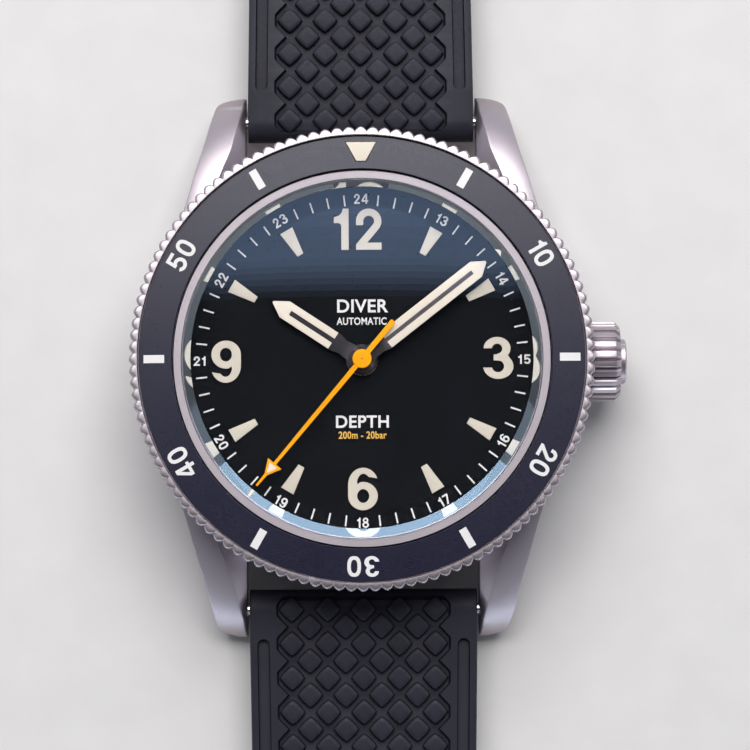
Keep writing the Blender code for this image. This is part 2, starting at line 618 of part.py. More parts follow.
def straps():
    buckle_top = [(4.0, 4.62), (12.0, 4.3), (24.0, 4.05), (40.0, 3.9), (68.0, 3.9), (71.0, 4.0)]
    buckle_bottom = [(4.0, 1.15), (24.0, 1.25), (68.0, 1.25), (71.0, 1.2)]
    buckle_strap = strap("strap_buckle_side", buckle_top, buckle_bottom, BUCKLE_SIDE_LENGTH, False, 0.0)
    slot = block("tongue_slot", (-1.2, 72.2, -4.0), (1.2, 78.0, 4.0))
    slot.parent = buckle_strap
    cut(buckle_strap, slot)
    tail_top = [(4.0, 4.55), (12.0, 4.1), (24.0, 3.55), (36.0, 3.1), (48.0, 2.8), (65.0, 2.6), (108.0, 2.4),
                (114.0, 2.4), (117.0, 2.3), (119.0, 2.1)]
    tail_bottom = [(4.0, 1.0), (12.0, 0.55), (24.0, 0.1), (30.0, 0.0), (114.0, 0.0), (117.0, 0.2),
                   (119.0, 0.6)]
    tail = strap("strap_tail_side", tail_top, tail_bottom, TAIL_LENGTH, True, math.pi)
    for i in range(HOLE_COUNT):
        hole = disc(f"strap_hole_{i}", HOLE_R, -5.0, 3.0, None, 10, (0.0, FIRST_HOLE + i * HOLE_PITCH, 0.0))
        hole.parent = tail
        cut(tail, hole)
    for name, side in (("spring_bar_12", 1), ("spring_bar_6", -1)):
        profile = [(0.0, 11.2), (0.5, 11.2), (0.5, 9.95), (SPRING_BAR_R, 9.9), (SPRING_BAR_R, -9.9),
                   (0.5, -9.95), (0.5, -11.2), (0.0, -11.2)]
        along_x(turned(name, profile, POLISHED, 16, (0.0, side * SPRING_BAR_Y, SPRING_BAR_Z)))


def keeper(name, distance):
    """A rubber loop round the strap with room above it for the tail."""
    def frame(half, low, high, radius):
        corners = ((half - radius, low + radius, -90.0), (half - radius, high - radius, 0.0),
                   (radius - half, high - radius, 90.0), (radius - half, low + radius, 180.0))
        outline = []
        for x, z, start in corners:
            outline += arc((x, z), radius, start, start + 90.0, 3)
        return outline
    loop = plate(name, [frame(10.6, 0.0, 7.3, 1.0), frame(9.4, 1.0, 6.4, 0.4)], -0.5 * KEEPER_WIDTH,
                 0.5 * KEEPER_WIDTH, STRAP_RUBBER, (0.0, SPRING_BAR_Y + distance, 0.0))
    loop.rotation_euler = (0.5 * math.pi, 0.0, 0.0)


def buckle():
    place = (0.0, SPRING_BAR_Y + BUCKLE_SIDE_LENGTH, BUCKLE_BAR_Z)
    axis = pivot("buckle_axis", place, (-BUCKLE_DROP, 0.0, 0.0))
    wire = bpy.data.curves.new("buckle_wire", "CURVE")
    wire.dimensions = "3D"
    wire.bevel_depth = BUCKLE_WIRE_R * MM
    wire.bevel_resolution = 3
    wire.use_fill_caps = True
    corner = 2.4
    right = [(BUCKLE_ARM_X, -1.3), (BUCKLE_ARM_X, 3.0)]
    right += arc((BUCKLE_ARM_X - corner, BUCKLE_REACH - corner), corner, 0.0, 90.0, 6)
    path = right + [(-x, y) for x, y in right[::-1]]
    spline = wire.splines.new("POLY")
    spline.points.add(len(path) - 1)
    for point, (x, y) in zip(spline.points, path):
        point.co = (x * MM, y * MM, 0.0, 1.0)
    frame = solid_from_curve("buckle_frame", wire, 0.0, STEEL, parent=axis)
    bore = disc("buckle_bore", BUCKLE_BAR_R + 0.1, -11.0, 11.0, None, 16, parent=axis)
    cut(frame, along_x(bore))
    along_x(disc("buckle_bar", BUCKLE_BAR_R, -10.7, 10.7, POLISHED, 16, parent=axis))
    arm = arc((0.0, 0.0), 1.35, 60.0, 340.0, 16) + [(4.0, 0.35), (8.6, 1.3), (11.8, 1.35), (12.2, 1.0),
                                                    (12.5, 1.25), (12.0, 2.15), (8.4, 2.1), (4.0, 1.25)]
    side_view = [arm[::-1], circle(BUCKLE_BAR_R + 0.1, 16)]
    tongue = plate("buckle_tongue", side_view, -0.9, 0.9, STEEL, parent=axis)
    tongue.data.transform(Matrix(((0.0, 0.0, 1.0), (1.0, 0.0, 0.0), (0.0, 1.0, 0.0))).to_4x4())


# ---------------------------------------------------------------- assembly
mid_case()
case_back()
crystal()
bezel()
crown()
going_train()
escapement()
plates()
motion_work()
hands()
winding_rotor()
straps()
keeper("fixed_keeper", 64.0)
keeper("loose_keeper", 52.0)
buckle()
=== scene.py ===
"""Dive watch on a rubber strap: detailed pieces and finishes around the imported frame.

Same frame as the CAD: +Z up through the crystal, +Y towards 12 o'clock, +X towards the crown.
Dimensions in this file are in millimetres. The meshes are in metres.
"""
import math

import bmesh
import bpy
from mathutils import Matrix, Vector


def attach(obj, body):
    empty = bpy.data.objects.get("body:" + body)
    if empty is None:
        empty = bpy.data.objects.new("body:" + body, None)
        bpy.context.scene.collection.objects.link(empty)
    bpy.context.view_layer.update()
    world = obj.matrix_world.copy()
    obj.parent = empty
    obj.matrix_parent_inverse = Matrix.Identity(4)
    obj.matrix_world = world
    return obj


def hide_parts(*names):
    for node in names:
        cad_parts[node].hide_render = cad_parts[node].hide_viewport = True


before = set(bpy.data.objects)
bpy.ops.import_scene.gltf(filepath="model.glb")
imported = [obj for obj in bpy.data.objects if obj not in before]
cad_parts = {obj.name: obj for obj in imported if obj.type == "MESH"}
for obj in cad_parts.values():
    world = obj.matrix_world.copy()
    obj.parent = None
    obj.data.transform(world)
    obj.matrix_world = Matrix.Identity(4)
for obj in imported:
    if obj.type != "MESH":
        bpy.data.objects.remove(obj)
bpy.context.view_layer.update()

MM = 0.001
TAU = 2.0 * math.pi
SCENE = bpy.context.scene
MERGE = 0.0004
CROWN_Z = 4.75
BAR_Y = 21.4
BAR_Z = 2.9


# ---------------------------------------------------------------- materials
class Finish:
    """A Principled material with helpers for its procedural detail."""

    def __init__(self, name, colour, roughness, metallic=0.0, **fixed):
        self.material = bpy.data.materials.new(name)
        self.material.use_nodes = True
        self.nodes = self.material.node_tree.nodes
        self.links = self.material.node_tree.links
        self.shader = self.nodes["Principled BSDF"]
        self.set("Base Color", (*colour, 1.0))
        self.set("Roughness", roughness)
        self.set("Metallic", metallic)
        for socket, value in fixed.items():
            self.set(socket.replace("_", " "), value)
        self.place = self.nodes.new("ShaderNodeTexCoord").outputs["Object"]

    def set(self, socket, value):
        self.shader.inputs[socket].default_value = value

    def noise(self, scale, detail=3.0):
        """A noise value; scale is in features per metre."""
        texture = self.nodes.new("ShaderNodeTexNoise")
        texture.inputs["Scale"].default_value = scale
        texture.inputs["Detail"].default_value = detail
        self.links.new(self.place, texture.inputs["Vector"])
        return texture.outputs[0]

    def reckon(self, operation, first, second=None):
        """One Math node fed by one or two outputs."""
        node = self.nodes.new("ShaderNodeMath")
        node.operation = operation
        self.links.new(first, node.inputs[0])
        if second is not None:
            self.links.new(second, node.inputs[1])
        return node.outputs[0]

    def spread(self, value, low, high, start=0.3, end=0.7):
        """Map a value between start and end to low and high."""
        remap = self.nodes.new("ShaderNodeMapRange")
        for socket, number in zip(("From Min", "From Max", "To Min", "To Max"), (start, end, low, high)):
            remap.inputs[socket].default_value = number
        self.links.new(value, remap.inputs["Value"])
        return remap.outputs["Result"]

    def blend(self, value, first, second):
        mix = self.nodes.new("ShaderNodeMix")
        mix.data_type = "RGBA"
        for socket, colour in ((mix.inputs[6], first), (mix.inputs[7], second)):
            if isinstance(colour, tuple):
                socket.default_value = (*colour, 1.0)
            else:
                self.links.new(colour, socket)
        self.links.new(value, mix.inputs[0])
        return mix.outputs[2]

    def use(self, output, socket):
        self.links.new(output, self.shader.inputs[socket])

    def bump(self, value, strength, depth):
        """Bumps can be stacked; each call goes over the last. depth is in millimetres."""
        node = self.nodes.new("ShaderNodeBump")
        node.inputs["Strength"].default_value = strength
        node.inputs["Distance"].default_value = depth * MM
        self.links.new(value, node.inputs["Height"])
        before = self.shader.inputs["Normal"].links
        if before:
            self.links.new(before[0].from_socket, node.inputs["Normal"])
        self.use(node.outputs["Normal"], "Normal")

    def edge(self):
        """How far a point is along a convex edge, from the mesh's own curvature."""
        return self.nodes.new("ShaderNodeNewGeometry").outputs["Pointiness"]


def grained(name, colour, other, roughness, spread=0.06, metallic=0.0, grain=5000.0, depth=0.004,
            strength=0.5, wear=None, **fixed):
    """A finish with cloudy colour, uneven roughness, a fine grain and, with wear, rubbed edges."""
    made = Finish(name, colour, roughness, metallic, **fixed)
    cloud = made.noise(220.0, 4.0)
    base = made.blend(made.spread(cloud, 0.0, 1.0), colour, other)
    if wear is not None:
        base = made.blend(made.spread(made.edge(), 0.0, 0.8, 0.53, 0.62), base, wear)
    made.use(base, "Base Color")
    fine = made.noise(grain, 2.0)
    made.use(made.spread(fine, roughness - spread, roughness + spread), "Roughness")
    made.bump(fine, strength, depth)
    made.bump(cloud, 0.15, 0.02)
    return made.material


STEEL = grained("blasted_steel", (0.475, 0.415, 0.448), (0.45, 0.405, 0.435), 0.38, 0.05, metallic=1.0,
                grain=9000.0, depth=0.003, strength=0.35, wear=(0.72, 0.67, 0.70))
POLISHED = grained("polished_steel", (0.78, 0.76, 0.77), (0.72, 0.70, 0.71), 0.16, 0.03, metallic=1.0,
                   grain=4000.0, depth=0.0006, strength=0.2)
SATIN = grained("satin_steel", (0.42, 0.385, 0.41), (0.38, 0.345, 0.37), 0.50, 0.06, metallic=1.0,
                grain=9000.0, depth=0.003, strength=0.35)
INSERT = grained("black_insert", (0.008, 0.008, 0.026), (0.012, 0.012, 0.030), 0.34, 0.07, grain=7000.0,
                 depth=0.006, strength=0.6)
PRINT = grained("white_print", (0.80, 0.79, 0.77), (0.74, 0.73, 0.71), 0.55, 0.05, grain=8000.0, depth=0.002)
LUME = grained("cream_lume", (0.80, 0.73, 0.60), (0.74, 0.67, 0.55), 0.62, 0.05, grain=6000.0, depth=0.006,
               strength=0.6)
DIAL_LUME = grained("dial_lume", (0.64, 0.59, 0.48), (0.59, 0.54, 0.44), 0.66, 0.05, grain=6000.0,
                    depth=0.006, strength=0.6)
DIAL = grained("dial_black", (0.005, 0.006, 0.007), (0.007, 0.008, 0.010), 0.6, 0.06, grain=9000.0,
               depth=0.003, strength=0.4, Specular_IOR_Level=0.04)
GUNMETAL = grained("hand_gunmetal", (0.030, 0.027, 0.032), (0.024, 0.022, 0.027), 0.5, 0.06, metallic=0.3,
                   grain=9000.0, depth=0.003, strength=0.6, wear=(0.10, 0.09, 0.10), Specular_IOR_Level=0.22)
ORANGE = grained("seconds_paint", (1.0, 0.40, 0.0), (0.95, 0.37, 0.0), 0.42, 0.05, grain=7000.0, depth=0.002,
                 Specular_IOR_Level=0.12)
AMBER = grained("amber_print", (0.80, 0.46, 0.07), (0.74, 0.42, 0.06), 0.5, 0.05, grain=7000.0, depth=0.002)
RUBBER = grained("strap_rubber", (0.016, 0.0175, 0.028), (0.012, 0.012, 0.020), 0.6, 0.08, grain=6000.0,
                 depth=0.008, strength=0.6, wear=(0.042, 0.042, 0.055), Specular_IOR_Level=0.3)
# Darker, duller copy of the strap rubber: painted shade for the strap's recesses and the foot of each block,
# not a different rubber.
STRAP_PAINTED_SHADE = grained("strap_painted_shade", (0.009, 0.009, 0.013), (0.007, 0.007, 0.011), 0.75, 0.06, grain=6000.0,
                 depth=0.008, strength=0.6, Specular_IOR_Level=0.15)
SEAL = grained("seal_rubber", (0.014, 0.014, 0.015), (0.020, 0.020, 0.021), 0.6, 0.08)
BRASS = grained("wheel_brass", (0.78, 0.60, 0.28), (0.70, 0.53, 0.24), 0.30, 0.06, metallic=1.0,
                grain=6000.0, depth=0.001, wear=(0.90, 0.75, 0.42))
NICKEL = grained("movement_nickel", (0.62, 0.60, 0.57), (0.54, 0.52, 0.50), 0.26, 0.07, metallic=1.0,
                 depth=0.001, wear=(0.80, 0.78, 0.75))
SPRING = grained("spring_steel", (0.36, 0.38, 0.43), (0.30, 0.32, 0.38), 0.28, 0.06, metallic=1.0,
                 grain=6000.0, depth=0.001)
TUNGSTEN = grained("rotor_metal", (0.46, 0.44, 0.41), (0.38, 0.37, 0.35), 0.30, 0.06, metallic=1.0,
                   grain=6000.0, depth=0.001)
HOLDER = grained("holder_plastic", (0.70, 0.70, 0.68), (0.64, 0.64, 0.62), 0.5, 0.05)


def brushed(name, colour, other, turns_per_metre):
    """Steel brushed in circles round the watch's axis."""
    made = Finish(name, colour, 0.3, 1.0, Anisotropic=0.6)
    split = made.nodes.new("ShaderNodeSeparateXYZ")
    made.links.new(made.place, split.inputs[0])
    squares = [made.reckon("MULTIPLY", split.outputs[axis], split.outputs[axis]) for axis in ("X", "Y")]
    join = made.nodes.new("ShaderNodeCombineXYZ")
    made.links.new(made.reckon("SQRT", made.reckon("ADD", *squares)), join.inputs[0])
    rings = made.nodes.new("ShaderNodeTexNoise")
    rings.inputs["Scale"].default_value = turns_per_metre
    made.links.new(join.outputs[0], rings.inputs["Vector"])
    made.use(made.spread(rings.outputs[0], 0.22, 0.40), "Roughness")
    made.bump(rings.outputs[0], 0.4, 0.003)
    made.use(made.blend(made.spread(made.noise(200.0), 0.0, 1.0), colour, other), "Base Color")
    return made.material


def sapphire(name, colour, tint, weight, rough):
    """Glass with a blue coating, no rougher than rough. Its shadow is clear, so lamps light the dial."""
    made = Finish(name, colour, 0.0, 0.0, Transmission_Weight=weight, IOR=1.77, Specular_Tint=(*tint, 1.0))
    clear = made.nodes.new("ShaderNodeBsdfTransparent")
    clear.inputs["Color"].default_value = (0.91, 0.91, 0.92, 1.0)
    path = made.nodes.new("ShaderNodeLightPath")
    mix = made.nodes.new("ShaderNodeMixShader")
    output = made.nodes["Material Output"]
    made.links.new(path.outputs["Is Shadow Ray"], mix.inputs[0])
    made.links.new(made.shader.outputs[0], mix.inputs[1])
    made.links.new(clear.outputs[0], mix.inputs[2])
    made.links.new(mix.outputs[0], output.inputs["Surface"])
    made.use(made.spread(made.noise(300.0, 2.0), 0.0, rough), "Roughness")
    return made.material


BRUSHED = brushed("brushed_steel", (0.60, 0.58, 0.60), (0.54, 0.52, 0.54), 9000.0)
SAPPHIRE = sapphire("sapphire", (0.81, 0.815, 0.83), (0.11, 0.165, 0.27), 1.0, 0.001)
BEVEL = sapphire("ground_sapphire", (0.86, 0.93, 1.0), (0.62, 0.84, 1.0), 0.95, 0.03)


# ---------------------------------------------------------------- mesh helpers
def add_piece(name, shape, finish, body, stands_for=(), sharp=32.0):
    """Link a bmesh as a piece that rides on a body."""
    bmesh.ops.recalc_face_normals(shape, faces=shape.faces)
    for face in shape.faces:
        face.smooth = True
    mesh = mesh_of(shape, name)
    mesh.set_sharp_from_angle(angle=math.radians(sharp))
    mesh.materials.append(finish)
    made = bpy.data.objects.new(name, mesh)
    SCENE.collection.objects.link(made)
    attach(made, body)
    if stands_for:
        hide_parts(*stands_for)
    return made


def loft(loops, closed=False, caps=True):
    """Join rings of points, all as long as each other; a ring of one point is a pole."""
    shape = bmesh.new()
    rings = [[shape.verts.new(Vector(point) * MM) for point in loop] for loop in loops]
    pairs = list(zip(rings, rings[1:]))
    if closed:
        pairs.append((rings[-1], rings[0]))
    for near, far in pairs:
        count = max(len(near), len(far))
        for i in range(count):
            j = (i + 1) % count
            if len(near) == 1:
                shape.faces.new((near[0], far[j], far[i]))
            elif len(far) == 1:
                shape.faces.new((near[i], near[j], far[0]))
            else:
                shape.faces.new((near[i], near[j], far[j], far[i]))
    if caps and not closed:
        for ring in (rings[0], rings[-1]):
            if len(ring) > 2:
                shape.faces.new(ring)
    return shape


def edges_sharper_than(made, degrees):
    """Smooth a piece's faces, but keep its corners above an angle sharp."""
    made.data.shade_smooth()
    made.data.set_sharp_from_angle(angle=math.radians(degrees))


def mesh_of(shape, name):
    """Turn a bmesh into a mesh and free it."""
    mesh = bpy.data.meshes.new(name)
    shape.to_mesh(mesh)
    shape.free()
    return mesh


def no_lobes(angle):
    return 0.0


def turned(profile, steps, closed=False, depth_at=no_lobes, along_x=None):
    """Turn (radius, height, share of the lobes' depth) points about Z, or about X at height along_x."""
    loops = []
    for point in profile:
        radius, height = point[0], point[1]
        lobed = point[2] if len(point) > 2 else 0.0
        loop = []
        for i in range(steps if radius > 0.0 else 1):
            angle = TAU * i / steps
            r = radius - lobed * depth_at(angle)
            if along_x is None:
                loop.append((r * math.cos(angle), r * math.sin(angle), height))
            else:
                loop.append((height, r * math.cos(angle), along_x + r * math.sin(angle)))
        loops.append(loop)
    return loft(loops, closed, caps=False)


def plate_mesh(outlines, bottom, top, edge=0.0):
    """Fill outlines in XY (later ones inside the first are holes), extrude them and round the edges."""
    curve = bpy.data.curves.new("outline", "CURVE")
    curve.dimensions = "2D"
    curve.fill_mode = "BOTH"
    curve.extrude = (0.5 * (top - bottom) - edge) * MM
    curve.bevel_depth = edge * MM
    curve.bevel_resolution = 2
    curve.offset = -edge * MM
    for outline in outlines:
        spline = curve.splines.new("POLY")
        spline.points.add(len(outline) - 1)
        for point, (x, y) in zip(spline.points, outline):
            point.co = (x * MM, y * MM, 0.0, 1.0)
        spline.use_cyclic_u = True
    source = bpy.data.objects.new("outline", curve)
    SCENE.collection.objects.link(source)
    graph = bpy.context.evaluated_depsgraph_get()
    mesh = bpy.data.meshes.new_from_object(source.evaluated_get(graph))
    bpy.data.objects.remove(source, do_unlink=True)
    mesh.transform(Matrix.Translation((0.0, 0.0, 0.5 * (top + bottom) * MM)))
    return mesh


def gather(parts):
    """One bmesh from (mesh, matrix) pairs."""
    shape = bmesh.new()
    for mesh, matrix in parts:
        copy = mesh.copy()
        copy.transform(matrix)
        shape.from_mesh(copy)
        bpy.data.meshes.remove(copy)
    bmesh.ops.remove_doubles(shape, verts=shape.verts, dist=MERGE * MM)
    return shape


def plate(outlines, bottom, top, edge=0.0, matrix=Matrix.Identity(4)):
    return gather([(plate_mesh(outlines, bottom, top, edge), matrix)])


def spun(degrees):
    """Turn clockwise by an angle, seen from above."""
    return Matrix.Rotation(-math.radians(degrees), 4, "Z")


def moved(x, y, z=0.0):
    return Matrix.Translation(Vector((x, y, z)) * MM)


# Turns a plate drawn in XY so that its X runs along Y, its Y along Z and its thickness along X.
SIDEWAYS = Matrix(((0.0, 0.0, 1.0, 0.0), (1.0, 0.0, 0.0, 0.0), (0.0, 1.0, 0.0, 0.0), (0.0, 0.0, 0.0, 1.0)))


def boolean(made, operation, tools):
    """Join bmesh tools to a piece's own mesh, or take them away, one after the other."""
    for tool in tools:
        bmesh.ops.recalc_face_normals(tool, faces=tool.faces)
        other = bpy.data.objects.new("tool", mesh_of(tool, "tool"))
        SCENE.collection.objects.link(other)
        step = made.modifiers.new("step", "BOOLEAN")
        step.object = other
        step.operation = operation
        step.solver = "EXACT"
        graph = bpy.context.evaluated_depsgraph_get()
        result = bpy.data.meshes.new_from_object(made.evaluated_get(graph))
        made.modifiers.clear()
        bpy.data.objects.remove(other, do_unlink=True)
        made.data = result


def cut(made, *tools):
    boolean(made, "DIFFERENCE", tools)


def cross_hole(radius, half_length, y, z, steps=32):
    """A cutting rod along X through (y, z)."""
    rod = turned([(0.0, -half_length), (radius, -half_length), (radius, half_length), (0.0, half_length)],
                 steps, along_x=z)
    bmesh.ops.translate(rod, vec=(0.0, y * MM, 0.0), verts=rod.verts)
    return rod


def tube(path, radius, sides):
    """A round wire along a path of points, with closed ends."""
    loops = []
    for i, point in enumerate(path):
        before = Vector(path[max(i - 1, 0)])
        after = Vector(path[min(i + 1, len(path) - 1)])
        along = (after - before).normalized()
        side = along.cross(Vector((0.0, 0.0, 1.0))).normalized()
        up = side.cross(along)
        here = Vector(point)
        loops.append([here + radius * (side * math.cos(TAU * k / sides) + up * math.sin(TAU * k / sides))
                      for k in range(sides)])
    first, last = Vector(path[0]), Vector(path[-1])
    start = (first - Vector(path[1])).normalized()
    end = (last - Vector(path[-2])).normalized()
    first_loop, last_loop = loops[0], loops[-1]
    for out, ease in ((0.175, 0.92), (0.3, 0.7)):
        loops.insert(0, [first + (p - first) * ease + start * out * radius for p in first_loop])
        loops.append([last + (p - last) * ease + end * out * radius for p in last_loop])
    return loft(loops)


def arc(centre, radius, start, end, count, tall=None):
    """Points on an arc, or on part of an ellipse; angles in degrees."""
    tall = radius if tall is None else tall
    angles = [math.radians(start + (end - start) * i / count) for i in range(count + 1)]
    return [(centre[0] + radius * math.cos(a), centre[1] + tall * math.sin(a)) for a in angles]


def circle(radius, count):
    return arc((0.0, 0.0), radius, 0.0, 360.0, count)[:-1]


def rounded_box(half_x, half_y, radius):
    points = []
    for x, y, start in ((half_x, -half_y, -90.0), (half_x, half_y, 0.0), (-half_x, half_y, 90.0),
                        (-half_x, -half_y, 180.0)):
        centre = (x - math.copysign(radius, x), y - math.copysign(radius, y))
        points += arc(centre, radius, start, start + 90.0, 6)
    return points


def between(points, x):
    """Straight-line value at x through (x, value) points."""
    for (x0, v0), (x1, v1) in zip(points, points[1:]):
        if x <= x1:
            return v0 + (v1 - v0) * max(0.0, x - x0) / (x1 - x0)
    return points[-1][1]


def smooth(points, x):
    """Smooth curve value at x through (x, value) points, by Catmull-Rom."""
    last = len(points) - 1
    for i in range(last):
        x0, v0 = points[i]
        x1, v1 = points[i + 1]
        if x <= x1 or i == last - 1:
            before = points[max(i - 1, 0)]
            after = points[min(i + 2, last)]
            slope0 = (v1 - before[1]) / (x1 - before[0])
            slope1 = (after[1] - v0) / (after[0] - x0)
            run = x1 - x0
            t = min(1.0, max(0.0, (x - x0) / run))
            return ((2 * t**3 - 3 * t**2 + 1) * v0 + (t**3 - 2 * t**2 + t) * run * slope0
                    + (3 * t**2 - 2 * t**3) * v1 + (t**3 - t**2) * run * slope1)


# ---------------------------------------------------------------- numerals
# Outlines on a height of 3.5, with their widths: the first outline is the outside, the rest are holes.
NUMERAL_HEIGHT = 3.5


def super_ellipse(centre, half_x, half_y, power, count=36):
    points = []
    for i in range(count):
        c, s = math.cos(TAU * i / count), math.sin(TAU * i / count)
        points.append((centre[0] + half_x * math.copysign(abs(c) ** (2.0 / power), c),
                       centre[1] + half_y * math.copysign(abs(s) ** (2.0 / power), s)))
    return points


def six():
    outside = arc((1.27, 2.13), 1.27, 22.0, 180.0, 16, 1.42)
    outside += arc((1.24, 1.18), 1.24, 180.0, 450.0, 28, 1.18)
    outside += [(1.02, 2.33), (0.79, 2.16)]
    outside += arc((1.30, 2.25), 0.56, 170.0, 42.0, 10, 0.80)
    return [outside, arc((1.26, 1.18), 0.51, 0.0, 360.0, 24, 0.58)[:-1]]


def eight():
    lower, upper = (1.02, 1.20, 1.02), (2.62, 1.02, 0.90)
    right = []
    for i in range(33):
        y = 0.5 * NUMERAL_HEIGHT * (1.0 - math.cos(math.pi * i / 32))
        reach = [half * math.sqrt(max(0.0, 1.0 - ((y - middle) / tall) ** 2))
                 for middle, half, tall in (lower, upper)]
        right.append((1.2 + max(reach), y))
    outside = right + [(2.4 - x, y) for x, y in right[-2:0:-1]]
    return [outside, arc((1.2, 1.02), 0.58, 0.0, 360.0, 20, 0.48)[:-1],
            arc((1.2, 2.60), 0.46, 0.0, 360.0, 20, 0.40)[:-1]]


def three():
    outside = [(0.05, 2.58)] + arc((1.18, 2.58), 1.13, 180.0, -38.0, 22, 0.95)
    outside += arc((1.27, 1.06), 1.27, 40.0, -180.0, 26, 1.06) + [(0.0, 0.95), (0.74, 0.95)]
    outside += arc((1.24, 1.06), 0.52, 190.0, 430.0, 18, 0.50)
    outside += [(1.1, 1.56), (0.88, 1.56), (0.88, 2.06), (1.1, 2.06)]
    outside += arc((1.18, 2.55), 0.44, -70.0, 176.0, 16, 0.42)
    return [outside]


def two():
    outside = [(0.0, 0.0), (2.14, 0.0), (2.14, 0.6), (0.93, 0.6)]
    outside += arc((1.07, 2.43), 1.07, -40.0, 180.0, 24) + [(0.0, 2.09), (0.61, 2.09)]
    outside += arc((1.07, 2.43), 0.46, 180.0, -40.0, 16) + [(0.0, 0.45)]
    return [outside]


def five():
    outside = [(0.22, 3.5), (2.2, 3.5), (2.2, 2.9), (0.8, 2.9), (0.76, 2.18)]
    outside += arc((1.16, 1.17), 1.20, 100.0, -158.0, 24, 1.17) + [(0.66, 0.92)]
    outside += arc((1.16, 1.17), 0.56, 205.0, 505.0, 20, 0.55) + [(0.16, 1.52)]
    return [outside]


def turned_over(outlines, width):
    return [[(width - x, NUMERAL_HEIGHT - y) for x, y in outline] for outline in outlines]


NUMERALS = {
    "0": (2.34, [super_ellipse((1.17, 1.75), 1.17, 1.75, 2.5),
                 super_ellipse((1.17, 1.75), 0.56, 1.14, 2.4)]),
    "1": (1.24, [[(1.24, 0.0), (1.24, 3.5), (0.76, 3.5), (0.66, 3.17), (0.46, 2.93), (0.0, 2.75),
                  (0.0, 2.28), (0.38, 2.28), (0.55, 2.2), (0.62, 2.05), (0.62, 0.0)]]),
    "2": (2.14, two()),
    "3": (2.54, three()),
    "4": (2.45, [[(1.42, 0.0), (2.02, 0.0), (2.02, 0.72), (2.45, 0.72), (2.45, 1.28), (2.02, 1.28),
                  (2.02, 3.5), (1.3, 3.5), (0.0, 1.35), (0.0, 0.72), (1.42, 0.72)],
                 [(1.42, 1.28), (0.62, 1.28), (1.42, 2.6)]]),
    "5": (2.36, five()),
    "6": (2.54, six()),
    "7": (2.2, [[(0.0, 3.5), (2.2, 3.5), (2.2, 2.95), (1.06, 0.0), (0.4, 0.0), (1.52, 2.9), (0.0, 2.9)]]),
    "8": (2.4, eight()),
    "9": (2.54, turned_over(six(), 2.54)),
}


def numerals(text, height, bottom, top, matrix, gap=0.55):
    """(mesh, matrix) pairs for digits centred on the local origin."""
    scale = height / NUMERAL_HEIGHT
    width = sum(NUMERALS[c][0] for c in text) + gap * (len(text) - 1)
    parts = []
    x = -0.5 * width
    for c in text:
        advance, outlines = NUMERALS[c]
        placed = [[((x + px) * scale, (py - 0.5 * NUMERAL_HEIGHT) * scale) for px, py in outline]
                  for outline in outlines]
        parts.append((plate_mesh(placed, bottom, top), matrix))
        x += advance + gap
    return parts


# ---------------------------------------------------------------- case
# Each lug's outer side, ridge, ridge height and bottom height, as (y, value) points.
LUG_STEPS = 44
LUG_ROOT_Y = 9.5
LUG_TIP_Y = 23.78
LUG_INNER_X = 10.1
LUG_OUTER_X = ((9.5, 16.7), (13.7, 15.3), (17.1, 14.35), (18.7, 13.87), (22.3, 12.95), (23.1, 12.6),
               (23.5, 11.95), (23.8, 10.95))
LUG_RIDGE_X = ((9.5, 14.6), (16.2, 12.35), (18.8, 11.35), (20.7, 10.95), (22.3, 10.45), (23.8, 10.3))
LUG_RIDGE_Z = ((9.5, 7.9), (14.0, 7.35), (16.0, 6.9), (18.0, 6.2), (19.5, 5.5), (21.0, 4.6),
               (22.2, 3.65), (23.1, 2.7), (23.6, 1.95), (23.8, 1.5))
LUG_BOTTOM_Z = ((9.5, 1.1), (17.0, 1.1), (21.0, 0.8), (23.1, 0.7), (23.8, 1.0))


def lug(side_x, side_y):
    """One lug: five-cornered sections along Y with rounded corners."""
    loops = []
    for k in range(LUG_STEPS + 1):
        y = LUG_ROOT_Y + (LUG_TIP_Y - LUG_ROOT_Y) * math.sin(0.5 * math.pi * k / LUG_STEPS)
        outer = smooth(LUG_OUTER_X, y)
        ridge = between(LUG_RIDGE_X, y)
        top = smooth(LUG_RIDGE_Z, y)
        low = smooth(LUG_BOTTOM_Z, y)
        inner_top = max(top - 0.8 * (ridge - LUG_INNER_X), low + 0.2)
        corners = [(LUG_INNER_X, low), (outer - 0.5, low), (outer, max(top - 0.35, low + 0.25)),
                   (ridge, top), (LUG_INNER_X, inner_top)]
        loop = []
        for i, corner in enumerate(corners):
            here = Vector(corner)
            before, after = Vector(corners[i - 1]), Vector(corners[(i + 1) % 5])
            reach = min(0.11, 0.3 * (before - here).length, 0.3 * (after - here).length)
            start = here + (before - here).normalized() * reach
            end = here + (after - here).normalized() * reach
            for t in (0.0, 0.5, 1.0):
                point = start * (1 - t) ** 2 + here * 2 * t * (1 - t) + end * t * t
                loop.append((side_x * point.x, side_y * y, point.y))
        loops.append(loop)
    return loft(loops)


